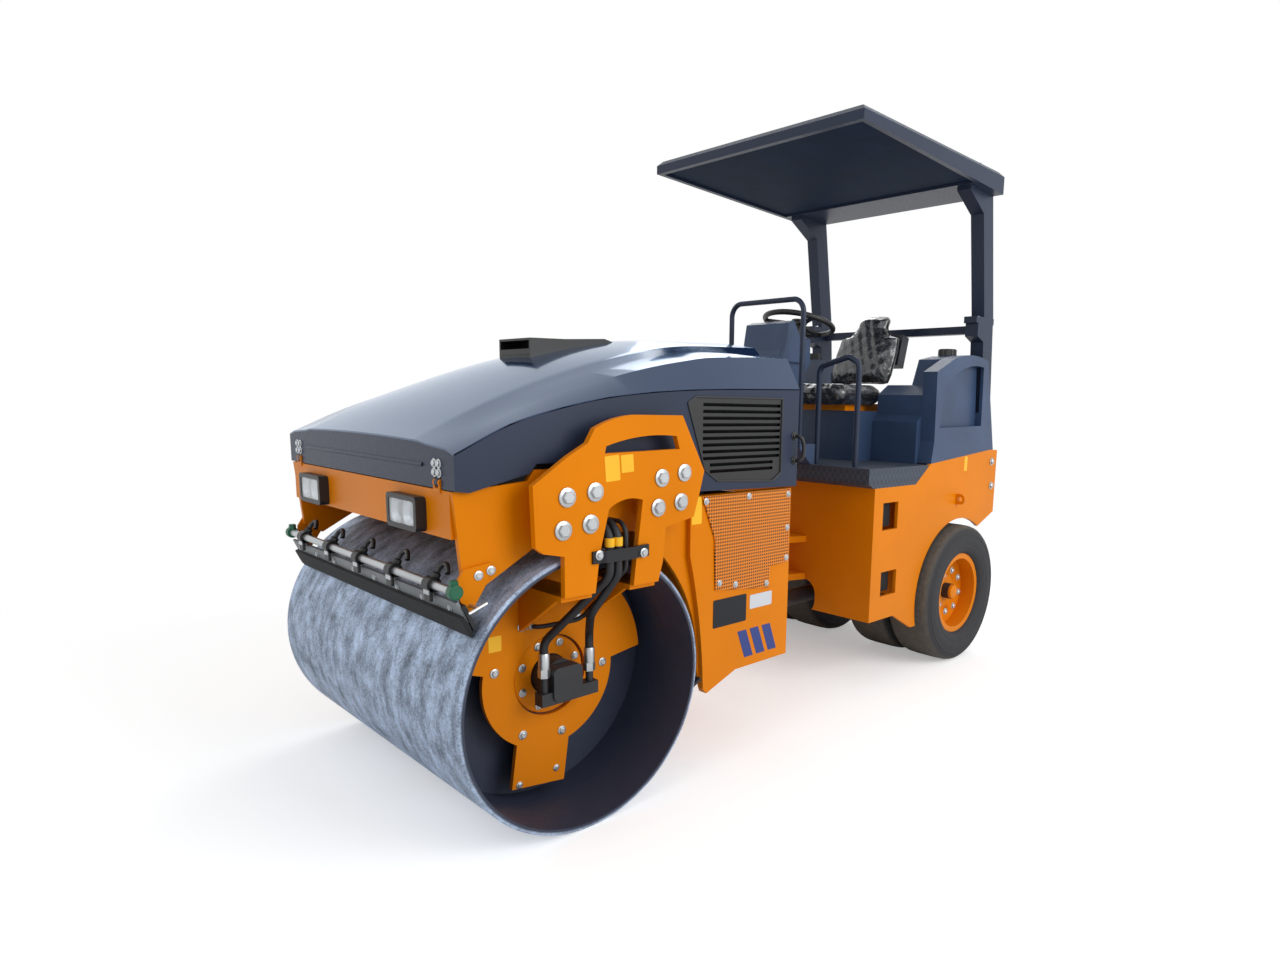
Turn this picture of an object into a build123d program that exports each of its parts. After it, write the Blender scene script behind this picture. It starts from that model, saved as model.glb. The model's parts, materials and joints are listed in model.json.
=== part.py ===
"""Articulated combination road roller: a smooth drum in front, four smooth tyres behind.

Millimetres, +X forward to the drum, +Y to the machine's left, +Z up. The origin is on the
ground, under the middle of the machine's length.
"""
import os
from math import radians, sin, sqrt

from build123d import *

os.makedirs("parts", exist_ok=True)

# Drum and axles
drum_d = 850
drum_w = 1300
drum_wall = 18
drum_disc_y = 350
drum_disc_t = 20
drum_boss_r = 70
drum_boss_l = 24
wheelbase = 2325
rear_overhang = 385
tyre_d = 700
tyre_w = 240
twin_gap = 20
wheels_w = 1250
rim_r = 204

# Clearances
running_gap = 0.05
seat_gap = 0.3
safe_gap = 6

# Plates
plate = 16
thin_plate = 8
frame_inset = 60
panel_t = 20
yoke_t = 20
hood_inset = 5
hood_wall = 8

# Heights
beam_top = 1043
beam_low = 918
rear_low = 326
rear_deck = 931
floor_z = 1018
canopy_top = 2434

# Articulation and the steering cylinder
pin_r = 35
joint_r = 62
swing_z = 555
swing_r = 60
steer_arm_x = 60
steer_arm_y = 190
steer_z = 385
steer_anchor_x = 588
steer_anchor_y = 170
barrel_r = 38
rod_r = 20
eye_r = 34
eye_h = 48
ear_gap = 7
ear_t = 18
anchor_pin_r = 15
barrel_l = 400

drum_r = drum_d / 2
tyre_r = tyre_d / 2
drum_x = (wheelbase + rear_overhang - drum_r) / 2
rear_x = drum_x - wheelbase
pivot_x = drum_x - wheelbase / 2
frame_half = drum_w / 2 - frame_inset
panel_half = frame_half + panel_t
hood_half = panel_half - hood_inset
yoke_in = drum_w / 2 + safe_gap
yoke_out = yoke_in + yoke_t
sides = {"left": 1, "right": -1}


def front_side(y):
    """Side view plane measured from under the drum's axle; it extrudes toward the right."""
    return Plane(origin=(drum_x, y, 0), x_dir=(1, 0, 0), z_dir=(0, -1, 0))


def rear_side(y):
    """Side view plane measured from under the rear axle; it extrudes toward the right."""
    return Plane(origin=(rear_x, y, 0), x_dir=(1, 0, 0), z_dir=(0, -1, 0))


def cross_plane(x, z=0):
    """Plane seen from the front, at a distance x along the machine."""
    return Plane(origin=(x, 0, z), x_dir=(0, 1, 0), z_dir=(1, 0, 0))


def strip(start, end, near, far):
    """Corners of a straight strip beside a line, from the near to the far offset on its left."""
    along = (Vector(*end) - Vector(*start)).normalized()
    beside = Vector(-along.Y, along.X)
    corners = [Vector(*start) + beside * near, Vector(*end) + beside * near,
               Vector(*end) + beside * far, Vector(*start) + beside * far]
    return [(corner.X, corner.Y) for corner in corners]


def along_line(start, end, distance):
    """The point at a distance from the start of a line."""
    point = Vector(*start) + (Vector(*end) - Vector(*start)).normalized() * distance
    return (point.X, point.Y)


def save(piece, name):
    piece.part.label = name
    export_step(piece.part, f"parts/{name}.step")


# Drum: an open shell, two inner discs and the bosses that turn on the motors' shafts
shaft_r = 40
disc_hole_r = 45
with BuildPart() as drum:
    with BuildSketch(Plane(origin=(drum_x, 0, drum_r), x_dir=(1, 0, 0), z_dir=(0, 0, 1))):
        with Locations((drum_r - drum_wall / 2, 0)):
            Rectangle(drum_wall, drum_w)
        for side in sides.values():
            disc_y = side * (drum_disc_y - drum_disc_t / 2)
            boss_y = side * (drum_disc_y + drum_boss_l / 2)
            with Locations(((drum_r + shaft_r) / 2, disc_y)):
                Rectangle(drum_r - shaft_r - drum_wall, drum_disc_t)
            with Locations(((drum_boss_r + shaft_r + running_gap) / 2, boss_y)):
                Rectangle(drum_boss_r - shaft_r - running_gap, drum_boss_l)
    revolve(axis=Axis((drum_x, 0, drum_r), (0, 1, 0)))
    with BuildSketch(Plane(origin=(drum_x, drum_w / 2, drum_r), x_dir=(1, 0, 0), z_dir=(0, -1, 0))):
        Circle(shaft_r + running_gap)
        with PolarLocations(0.62 * drum_r, 3, 30):
            Circle(disc_hole_r)
    extrude(amount=drum_w, mode=Mode.SUBTRACT)
    chamfer(drum.edges().filter_by(GeomType.CIRCLE).filter_by(
        lambda edge: edge.radius > drum_r - 1), 4)
save(drum, "drum")

# Drum carriers: the yoke plate outside the rim, two shelves and the hub plate in the recess
hub_y = drum_disc_y + 78
hub_t = 16
hub_r = 235
wing_r = 355
hub_hole_r = 130
leg_front = (7, 111)
leg_rear = (-230, -133)
leg_z = 735
gusset_h = 150
tab_w = 190
tab_lean = 8
bolt_groups = ((63, 979), (-279, 1016))
for word, side in sides.items():
    with BuildPart() as carrier:
        with BuildSketch(front_side(yoke_out)):
            with BuildLine():
                Polyline((7, 1206), (31, 1166), (97, 1130), (208, 1056), (202, 887), (178, 869),
                         (leg_front[1], 854), (leg_front[1], leg_z), (leg_front[0], leg_z),
                         (-9, 849), (-42, 975))
                ThreePointArc((-42, 975), (-100, 999), (-167, 993))
                Polyline((-167, 993), (-145, 832), (leg_rear[1], leg_z), (leg_rear[0], leg_z),
                         (-248, 796), (-259, 901), (-376, 924), (-401, 1001), (-420, 1069),
                         (-324, 1244), (-137, 1245))
                ThreePointArc((-137, 1245), (-62, 1233), (7, 1206))
            make_face()
            with BuildLine(mode=Mode.PRIVATE) as slot:
                Polyline((-32, 1156), (-27, 1135), (-313, 1141), (-300, 1181))
                ThreePointArc((-300, 1181), (-165, 1182), (-32, 1156))
            make_face(slot.edges(), mode=Mode.SUBTRACT)
        extrude(amount=yoke_t)
        with BuildSketch(Plane(origin=(drum_x, hub_y, drum_r), x_dir=(1, 0, 0), z_dir=(0, -1, 0))):
            Circle(wing_r)
            with BuildLine(mode=Mode.PRIVATE) as low:
                Polyline((wing_r * 1.2, 0.32 * wing_r), (0, -30), (-wing_r * 1.2, 0.1 * wing_r),
                         (-wing_r * 1.2, -wing_r * 1.2), (wing_r * 1.2, -wing_r * 1.2), close=True)
            make_face(low.edges(), mode=Mode.SUBTRACT)
            Circle(hub_r)
            with Locations((wing_r * sin(radians(tab_lean)) / 2, -wing_r / 2)):
                Rectangle(tab_w, wing_r, rotation=tab_lean)
            for leg in (leg_front, leg_rear):
                with Locations(((leg[0] + leg[1]) / 2, (leg_z - drum_r) / 2)):
                    Rectangle(leg[1] - leg[0], leg_z - drum_r)
            Circle(hub_hole_r, mode=Mode.SUBTRACT)
        extrude(amount=hub_t)
        for leg in (leg_front, leg_rear):
            with BuildSketch(Plane.XY.offset(leg_z - plate)):
                with Locations((drum_x + (leg[0] + leg[1]) / 2, (yoke_in + hub_y) / 2)):
                    Rectangle(leg[1] - leg[0], yoke_in - hub_y + 2)
            extrude(amount=plate)
            with BuildSketch(cross_plane(drum_x + leg[1] - plate)):
                Polygon((hub_y, leg_z), (yoke_in, leg_z), (hub_y, leg_z - gusset_h), align=None)
            extrude(amount=plate)
        if side < 0:
            mirror(about=Plane.XZ, mode=Mode.REPLACE)
    save(carrier, f"drum_carrier_{word}")

# Drum motors: a flange behind the hub plate, the motor through its hole, ports and a shaft
motor_flange_t = 15
motor_r = 62
motor_l = 70
motor_head = 104
motor_head_l = 45
port_r = 12
port_w = 40
port_front = (70, 465)
port_rear = (-96, 450)
port_z = 363
port_y = hub_y + 72
for word, side in sides.items():
    with BuildPart() as motor:
        face = hub_y - hub_t - seat_gap
        with BuildSketch(Plane(origin=(drum_x, face, drum_r), x_dir=(1, 0, 0), z_dir=(0, -1, 0))):
            Circle(hub_hole_r + 25)
        extrude(amount=motor_flange_t)
        with BuildSketch(Plane(origin=(drum_x, face, drum_r), x_dir=(1, 0, 0), z_dir=(0, 1, 0))):
            Circle(motor_r)
        extrude(amount=motor_l)
        with BuildSketch(Plane(origin=(drum_x, face + motor_l, drum_r), x_dir=(-1, 0, 0),
                               z_dir=(0, 1, 0))):
            RectangleRounded(motor_head, motor_head, 18)
        extrude(amount=motor_head_l)
        with BuildSketch(Plane.XY.offset(port_z)):
            with Locations((drum_x + (port_front[0] + port_rear[0]) / 2, port_y)):
                Rectangle(port_front[0] - port_rear[0] + port_w, port_w)
        extrude(amount=port_w)
        for x, z in (port_front, port_rear):
            with BuildSketch(Plane.XY.offset(port_z)):
                with Locations((drum_x + x, port_y)):
                    Circle(port_r)
            extrude(amount=z - port_z)
        with BuildSketch(Plane(origin=(drum_x, face - motor_flange_t, drum_r), x_dir=(1, 0, 0),
                               z_dir=(0, -1, 0))):
            Circle(shaft_r)
        extrude(amount=face - motor_flange_t - drum_disc_y + drum_disc_t)
        if side < 0:
            mirror(about=Plane.XZ, mode=Mode.REPLACE)
    save(motor, f"drum_motor_{word}")

# Hood hinges on the front beam
beam_x = 389
hinge_x = 385
hinge_z = 1062
hinge_pin_r = 6
hinge_lug_r = 10
hinge_w = 36
hinge_knuckle = 18
hinge_ys = (-513, 513)

# Wipers: a steel bar with a rubber blade that stops just short of the drum, front and rear
wiper_t = 10
wiper_bar_t = 8
wiper_half = drum_w / 2 - 30
front_wiper = ((392, 762), (360, 689))
front_bar_l = 68
front_blade = (15, 91)
rear_wiper = ((-531, 368.8), (-425, 315))
rear_bar_l = 90
rear_blade = (30, 62, 119)
arch_low = (-505, 400)
arch_foot = (-560, 334)

# Front frame: two long cheeks, outer rear panels, the front beam, decks and the rear wall
arch_gap = 55
panel_front = -425
panel_rear = -938
panel_top = 976
panel_low = 334
front_deck = 905
cheek_top = 1090
engine_low = 640
pad = 150
tube_r = 100
tube_l = 60
with BuildPart() as front_frame:
    arch_r = drum_r + arch_gap
    for side in sides.values():
        with BuildSketch(front_side(side * frame_half if side > 0 else -frame_half + plate)):
            with BuildLine():
                Polyline((beam_x, beam_top), (368, 820), (309, 784), (158, 870), (0, 885),
                         (-200, 885))
                ThreePointArc((-200, 885), (-398, 692), (-arch_r, drum_r - 60))
                Polyline((-arch_r, drum_r - 60), (-511, 280), (-656, panel_low),
                         (panel_rear, panel_low), (panel_rear, panel_top), (-460, panel_top),
                         (-420, cheek_top), (150, cheek_top), (172, 1060), (beam_x, beam_top))
            make_face()
        extrude(amount=plate)
        with BuildSketch(front_side(side * panel_half if side > 0 else -frame_half)):
            with BuildLine():
                Polyline((panel_front, 780), (panel_front, panel_top), (panel_rear, panel_top),
                         (panel_rear, panel_low), (-656, panel_low), (-511, 280), (-494, 300))
                ThreePointArc((-494, 300), (-arch_r, drum_r + 60), (panel_front, 780))
            make_face()
        extrude(amount=panel_t)
        for x, z in bolt_groups:
            with BuildSketch(front_side(yoke_in if side > 0 else -frame_half)):
                with Locations((x, z)):
                    Rectangle(pad, pad)
            extrude(amount=yoke_in - frame_half)
        wiper_back = strip(*front_wiper, wiper_t * -1, 0)
        back_top = along_line(wiper_back[0], wiper_back[1], 5)
        back_low = along_line(wiper_back[0], wiper_back[1], 60)
        with BuildSketch(front_side(frame_half + thin_plate if side > 0 else -frame_half)):
            Polygon((386, 812), (368, 840), (290, 850), (300, 800), (345, 730), back_low, back_top,
                    (386, 775), align=None)
        extrude(amount=thin_plate)
    inner = 2 * (frame_half - plate) + 2
    with BuildSketch(front_side(inner / 2)):
        Polygon((beam_x, beam_top), (beam_x, beam_low), (320, beam_low), (320, beam_top), align=None)
        Polygon((320, front_deck), (320, front_deck + thin_plate), (-420, front_deck + thin_plate),
                (-420, front_deck), align=None)
        Polygon((-420, front_deck + thin_plate), (-420 - plate, front_deck + thin_plate),
                (arch_low[0] - plate, arch_low[1]), arch_low, (-420, front_deck - 80), align=None)
        Polygon((panel_rear, panel_top - 40), (panel_rear + plate, panel_top - 40),
                (panel_rear + plate, panel_low), (panel_rear, panel_low), align=None)
        Polygon((-540, engine_low - seat_gap - plate), (-540, engine_low - seat_gap),
                (panel_rear, engine_low - seat_gap), (panel_rear, engine_low - seat_gap - plate),
                align=None)
        Polygon((arch_low[0] - plate, arch_low[1]), arch_low, arch_foot, (panel_rear, panel_low),
                (panel_rear, panel_low + plate), (arch_foot[0], panel_low + plate), align=None)
    extrude(amount=inner)
    for r, mode in ((tube_r, Mode.ADD), (swing_r + running_gap, Mode.SUBTRACT)):
        with BuildSketch(cross_plane(drum_x + panel_rear - tube_l)):
            with Locations((0, swing_z)):
                Circle(r)
        extrude(amount=tube_l if mode == Mode.ADD else tube_l + plate, mode=mode)
    for y in hinge_ys:
        with BuildSketch(front_side(y + hinge_w / 2)):
            with Locations((hinge_x, hinge_z)):
                Circle(hinge_lug_r)
            with Locations((hinge_x, (hinge_z + beam_top) / 2 - 4)):
                Rectangle(16, hinge_z - beam_top + 8)
        extrude(amount=hinge_w)
        with BuildSketch(front_side(y + hinge_knuckle / 2 + 1)):
            with Locations((hinge_x, hinge_z)):
                Circle(hinge_lug_r + 4)
                Circle(hinge_pin_r, mode=Mode.SUBTRACT)
            with Locations((hinge_x, hinge_z - hinge_lug_r)):
                Rectangle(30, 8)
        extrude(amount=hinge_knuckle + 2, mode=Mode.SUBTRACT)
save(front_frame, "front_frame")

# Engine: one plain block at its real place
engine_half = 260
with BuildPart() as engine:
    with BuildSketch(front_side(engine_half)):
        Polygon((-440, 930), (-440, 1250), (-820, 1250), (-820, engine_low), (-560, engine_low),
                align=None)
    extrude(amount=2 * engine_half)
save(engine, "engine_block")


# Hood: a lofted shell hinged at its front lower edge
def hood_section(x, rows, inset):
    """The hood's cross section at x, from the points of its left half and its crown."""
    left = [(y - inset, z - inset) for y, z in rows[:-1]]
    ridge_y, ridge_z = left[-1]
    left.append((ridge_y / 2, ridge_z + 0.75 * rows[-1]))
    outline = [(hood_half - inset, hood_skirt)] + left + [(0, ridge_z + rows[-1])]
    outline += [(-y, z) for y, z in reversed(left)] + [(-hood_half + inset, hood_skirt)]
    with BuildSketch(cross_plane(drum_x + x), mode=Mode.PRIVATE) as section:
        Polygon(*outline, align=None)
    return section.sketch


hood_skirt = 975
hood_rear = -974
hood_rows = {
    beam_x: ((hood_half, 1140), (560, 1152), (450, 1160), (400, 1166), 6),
    229: ((hood_half, 1216), (548, 1228), (445, 1234), (410, 1246), 20),
    66: ((hood_half, 1262), (544, 1288), (438, 1299), (404, 1312), 32),
    -96: ((hood_half, 1294), (542, 1336), (430, 1352), (398, 1366), 40),
    -270: ((hood_half, 1314), (541, 1381), (423, 1400), (393, 1416), 38),
    -443: ((hood_half, 1326), (540, 1415), (417, 1436), (387, 1454), 34),
    -616: ((hood_half, 1333), (540, 1438), (412, 1460), (382, 1480), 32),
    hood_rear: ((hood_half, 1342), (540, 1453), (402, 1468), (370, 1498), 30),
}
grille = ((-410, 1282), (-446, 1303), (-878, 1305), (-879, 1037), (-833, 1008), (-550, 1023),
          (-490, 1062))
with BuildPart() as hood:
    loft([hood_section(x, rows, 0) for x, rows in hood_rows.items()], ruled=True)
    inner_x = [min(max(x, hood_rear + hood_wall), beam_x - hood_wall) for x in hood_rows]
    loft([hood_section(x, rows, hood_wall) for x, rows in zip(inner_x, hood_rows.values())],
         ruled=True, mode=Mode.SUBTRACT)
    with BuildSketch(front_side(hood_half + 5)):
        Polygon((400, 1048), (351, 1040), (172, 1082), (150, 1108), (-410, 1108), (-446, 993),
                (-985, 981), (-985, 960), (400, 960), align=None)
        Polygon(*grille, align=None)
    extrude(amount=2 * hood_half + 10, mode=Mode.SUBTRACT)
    for y in hinge_ys:
        with BuildSketch(front_side(y + hinge_w / 2 + 2)):
            Polygon((365, 1040), (400, 1040), (400, 1077), (365, 1077), align=None)
        extrude(amount=hinge_w + 4, mode=Mode.SUBTRACT)
        with BuildSketch(front_side(y + hinge_knuckle / 2)):
            with Locations((hinge_x, hinge_z)):
                Circle(hinge_lug_r + 1)
            with Locations((hinge_x, hinge_z + 12)):
                Rectangle(hood_wall, 20)
            with Locations((hinge_x, hinge_z)):
                Circle(hinge_pin_r + running_gap, mode=Mode.SUBTRACT)
        extrude(amount=hinge_knuckle)
save(hood, "hood")

# Hood grilles: a louvred panel set into each side of the hood
louvres = 11
louvre_low = 1045
louvre_high = 1290
grille_t = 6
with BuildPart() as grilles:
    for y in (hood_half - 1, -hood_half + 1 + grille_t):
        with BuildSketch(front_side(y)):
            with BuildLine(mode=Mode.PRIVATE) as outline:
                Polyline(*grille, close=True)
            make_face(outline.edges())
            offset(amount=-seat_gap, mode=Mode.REPLACE)
            step = (louvre_high - louvre_low) / louvres
            for i in range(louvres):
                with Locations((-675, louvre_low + (i + 0.5) * step)):
                    Rectangle(390 if i > 1 else 320, step / 2, mode=Mode.SUBTRACT)
        extrude(amount=grille_t)
save(grilles, "hood_grilles")

# Intake cap on the hood: an open front box and a low raised panel behind it
cap_half = 100
with BuildPart() as intake:
    with BuildSketch(front_side(cap_half)):
        Polygon((-150, 1380), (-150, 1488), (-290, 1493), (-460, 1506), (-500, 1496),
                (-500, 1380), align=None)
    extrude(amount=2 * cap_half)
    with BuildSketch(front_side(cap_half - thin_plate)):
        Polygon((-140, 1452), (-140, 1480), (-230, 1482), (-230, 1452), align=None)
    extrude(amount=2 * (cap_half - thin_plate), mode=Mode.SUBTRACT)
    loft([hood_section(x, rows, -seat_gap) for x, rows in hood_rows.items()], ruled=True,
         mode=Mode.SUBTRACT)
save(intake, "intake_cap")

# Centre joint: block on the steering pin, swing shaft to the front frame, steering arm
block_low = 505
block_h = 130
flange_x = 120
joint_low = 340
with BuildPart() as centre_joint:
    with BuildSketch(Plane.XY.offset(block_low)):
        with Locations((pivot_x + 40, 0)):
            RectangleRounded(200, 130, 30)
    extrude(amount=block_h)
    with BuildSketch(Plane.XY.offset(joint_low)):
        with Locations((pivot_x, 0)):
            Circle(pin_r)
    extrude(amount=685 - joint_low)
    for r, reach in ((95, -tube_l - safe_gap), (swing_r, plate)):
        with BuildSketch(cross_plane(pivot_x + flange_x)):
            with Locations((0, swing_z)):
                Circle(r)
        extrude(amount=drum_x + panel_rear + reach - pivot_x - flange_x)
    for z in (steer_z - eye_h / 2 - ear_gap - ear_t, steer_z + eye_h / 2 + ear_gap):
        with BuildSketch(Plane.XY.offset(z)):
            with Locations((pivot_x, 0)):
                Circle(joint_r)
            with Locations((pivot_x + steer_arm_x, steer_arm_y)):
                Circle(eye_r)
            Polygon((pivot_x - 55, 30), (pivot_x + steer_arm_x - eye_r, steer_arm_y),
                    (pivot_x + steer_arm_x + eye_r, steer_arm_y), (pivot_x + 60, 10), align=None)
        extrude(amount=ear_t)
    with BuildSketch(Plane.XY.offset(joint_low)):
        with Locations((pivot_x, 0)):
            Circle(joint_r)
    extrude(amount=110)
save(centre_joint, "centre_joint")

# Steering cylinder: barrel hinged in the rear frame, rod with its eye on the steering arm
anchor = Vector(pivot_x - steer_anchor_x, steer_anchor_y, steer_z)
arm_pin = Vector(pivot_x + steer_arm_x, steer_arm_y, steer_z)
rod_dir = (arm_pin - anchor).normalized()
cylinder_l = (arm_pin - anchor).length
cylinder_plane = Plane(origin=anchor, x_dir=(0, 0, 1), z_dir=rod_dir)
with BuildPart() as barrel:
    with BuildSketch(cylinder_plane.offset(eye_r + safe_gap)):
        Circle(barrel_r)
    extrude(amount=barrel_l - eye_r - safe_gap)
    with BuildSketch(cylinder_plane):
        Circle(rod_r)
    extrude(amount=eye_r + 2 * safe_gap)
    with BuildSketch(Plane(origin=anchor - Vector(0, 0, eye_h / 2), z_dir=(0, 0, 1))):
        Circle(eye_r)
    extrude(amount=eye_h)
    with BuildSketch(Plane(origin=anchor - Vector(0, 0, eye_h), z_dir=(0, 0, 1))):
        Circle(anchor_pin_r + running_gap)
    extrude(amount=2 * eye_h, mode=Mode.SUBTRACT)
    with BuildSketch(cylinder_plane.offset(barrel_l)):
        Circle(rod_r + running_gap)
    extrude(amount=-barrel_l + 60, mode=Mode.SUBTRACT)
save(barrel, "steer_barrel")

with BuildPart() as rod:
    with BuildSketch(cylinder_plane.offset(cylinder_l)):
        Circle(rod_r)
    extrude(amount=-cylinder_l + barrel_l / 2)
    with BuildSketch(Plane(origin=arm_pin - Vector(0, 0, eye_h / 2), z_dir=(0, 0, 1))):
        Circle(eye_r)
    extrude(amount=eye_h)
save(rod, "steer_rod")

# Rear frame: side plates with the wheel arch, front box, deck, rear wall and the fork
rear_half = 570
front_face = 765
wheel_arch_r = tyre_r + 30
wheel_z = tyre_r
rear_face = -rear_overhang
deck_front = 300
deck_low = 1016
deck_high = 1066
deck_rear = rear_face + plate
fork_plates = (465, 645)
fork_t = 30
fork_r = 75
spine_half = 110
axle_top = 700
lug_r = 26
lug_hole_r = 13
lug_at = (20, 835)
hitch_z = 860
hitch_w = 200
hitch_h = 120
hitch_hole_r = 9
with BuildPart() as rear_frame:
    arch_y = wheel_z + sqrt(wheel_arch_r ** 2 - 120 ** 2)
    for y in (rear_half, -rear_half + plate):
        with BuildSketch(rear_side(y)):
            with BuildLine():
                Polyline((front_face, rear_low), (front_face, rear_deck), (429, rear_deck),
                         (304, 1022), (-297, 1074), (rear_face, 1071), (rear_face, 739),
                         (-217, 673))
                ThreePointArc((-217, 673), (120, arch_y), (363, 238))
                Polyline((363, 238), (406, 238), (567, rear_low), (front_face, rear_low))
            make_face()
            for x, z, w, h in ((632, 800, 122, 124), (621, 490, 126, 113)):
                with Locations((x, z)):
                    Rectangle(w, h, mode=Mode.SUBTRACT)
        extrude(amount=plate)
    width = 2 * (rear_half - plate) + 2
    with BuildSketch(rear_side(width / 2)):
        Polygon((front_face, rear_low), (front_face, rear_deck), (front_face - plate, rear_deck),
                (front_face - plate, rear_low), align=None)
        Polygon((front_face, rear_deck), (front_face, rear_deck - plate), (420, rear_deck - plate),
                (420, rear_deck), align=None)
        Polygon((436, rear_deck - plate), (420, rear_deck - plate), (406, 380), (422, 380),
                align=None)
        Polygon((420, rear_deck), (420, rear_deck - plate), (deck_front, deck_low - plate),
                (deck_front, deck_low), align=None)
        Polygon((deck_front, deck_low - plate), (deck_front, deck_low), (deck_rear, deck_high),
                (deck_rear, deck_high - plate), align=None)
        Polygon((rear_face, deck_high), (rear_face, 745), (deck_rear, 745), (deck_rear, deck_high),
                align=None)
    extrude(amount=width)
    with BuildSketch(cross_plane(rear_x + front_face)):
        with Locations((steer_anchor_y, steer_z)):
            RectangleRounded(183, 166, 70)
    extrude(amount=-plate, mode=Mode.SUBTRACT)
    for z in fork_plates:
        with BuildSketch(Plane.XY.offset(z)):
            Polygon((rear_x + front_face - 5, 200), (pivot_x - 20, 70), (pivot_x - 20, -70),
                    (rear_x + front_face - 5, -200), align=None)
            with Locations((pivot_x, 0)):
                Circle(fork_r)
                Circle(pin_r + running_gap, mode=Mode.SUBTRACT)
        extrude(amount=fork_t)
    for y in (spine_half, -spine_half + plate):
        with BuildSketch(rear_side(y)):
            Polygon((436, rear_deck - plate), (300, 1005), (-200, 1050), (-120, axle_top),
                    (120, axle_top), (430, axle_top), align=None)
        extrude(amount=plate)
    for z in (steer_z - eye_h / 2 - ear_gap - ear_t, steer_z + eye_h / 2 + ear_gap):
        with BuildSketch(Plane.XY.offset(z)):
            with Locations((rear_x + 500, steer_anchor_y)):
                Rectangle(190, 90)
            with Locations((anchor.X, anchor.Y)):
                Circle(eye_r)
        extrude(amount=ear_t)
    with BuildSketch(Plane(origin=anchor - Vector(0, 0, eye_h / 2 + 20), z_dir=(0, 0, 1))):
        Circle(anchor_pin_r)
    extrude(amount=eye_h + 40)
    # Lifting and tie-down eyes on the side plates, and the bolt holes of the rear hitch
    for side in sides.values():
        with BuildSketch(cross_plane(rear_x + lug_at[0])):
            with Locations((side * (rear_half + lug_r - 4), lug_at[1])):
                Circle(lug_r)
            with Locations((side * (rear_half + lug_r / 2 - 4), lug_at[1])):
                Rectangle(lug_r, 2 * lug_r)
            with Locations((side * (rear_half + lug_r - 4), lug_at[1])):
                Circle(lug_hole_r, mode=Mode.SUBTRACT)
        extrude(amount=plate)
    with BuildSketch(cross_plane(rear_x + rear_face)):
        with Locations((0, hitch_z)):
            with GridLocations(hitch_w, hitch_h, 2, 2):
                Circle(hitch_hole_r)
    extrude(amount=plate, mode=Mode.SUBTRACT)
save(rear_frame, "rear_frame")

# Rear axle: the fixed casting between the wheel pairs with a stub shaft on each side
outer_y = wheels_w / 2 - tyre_w / 2
inner_y = outer_y - tyre_w - twin_gap
axle_half = inner_y - tyre_w / 2 - twin_gap
stub_r = 40
stub_end = outer_y + 55
with BuildPart() as rear_axle:
    with BuildSketch(rear_side(axle_half)):
        Polygon((-120, axle_top - seat_gap), (120, axle_top - seat_gap), (110, wheel_z),
                (80, 250), (-80, 250), (-110, wheel_z), align=None)
    extrude(amount=2 * axle_half)
    with BuildSketch(rear_side(stub_end)):
        with Locations((0, wheel_z)):
            Circle(stub_r)
    extrude(amount=2 * stub_end)
save(rear_axle, "rear_axle")

# Wheels and tyres, a twin pair on each side on one hub
rim_w = 180
rim_lip = 8
bead_r = 190
disc_t = 14
dish = 30
hub_sleeve_r = 85
shoulder = 30
tyre_bulge = 12
for word, side in sides.items():
    wheel_axis = Axis((rear_x, 0, wheel_z), (0, 1, 0))
    turn_plane = Plane(origin=(rear_x, 0, wheel_z), x_dir=(1, 0, 0), z_dir=(0, 0, 1))
    with BuildPart() as wheels:
        with BuildSketch(turn_plane):
            for y, lean in ((outer_y, -dish), (inner_y, dish)):
                with Locations((bead_r - 6, side * y)):
                    Rectangle(12, rim_w)
                for edge in (-1, 1):
                    with Locations(((bead_r + rim_r) / 2 - 3, side * (y + edge * (rim_w - rim_lip) / 2))):
                        Rectangle(rim_r - bead_r + 6, rim_lip)
                disc = [(bead_r - 4, y), (bead_r - 4, y + disc_t), (hub_sleeve_r - 10, y + disc_t + lean),
                        (hub_sleeve_r - 10, y + lean)]
                Polygon(*[(r, side * across) for r, across in disc], align=None)
            with Locations(((stub_r + running_gap + hub_sleeve_r) / 2, side * (outer_y + inner_y) / 2)):
                Rectangle(hub_sleeve_r - stub_r - running_gap, outer_y - inner_y + 30)
        revolve(axis=wheel_axis)
    save(wheels, f"wheels_{word}")
    with BuildPart() as tyres:
        with BuildSketch(turn_plane):
            for y in (outer_y, inner_y):
                half = tyre_w / 2
                lip = rim_w / 2 + seat_gap
                profile = [(tyre_r, half - shoulder), (tyre_r - 8, half - tyre_bulge),
                           (tyre_r - shoulder, half - 3), (tyre_r - 70, half),
                           (rim_r + 40, half - 6), (rim_r + seat_gap, lip),
                           (rim_r + seat_gap, lip - rim_lip - 2 * seat_gap),
                           (bead_r + seat_gap, lip - rim_lip - 2 * seat_gap)]
                ring = profile + [(r, -across) for r, across in reversed(profile)]
                Polygon(*[(r, side * y + across) for r, across in ring], align=None)
        revolve(axis=wheel_axis)
    save(tyres, f"tyres_{word}")


def deck_z(x):
    """Height of the sloping rear deck at a distance ahead of the rear axle."""
    return deck_low + (deck_high - deck_low) * (deck_front - x) / (deck_front - deck_rear)


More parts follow.
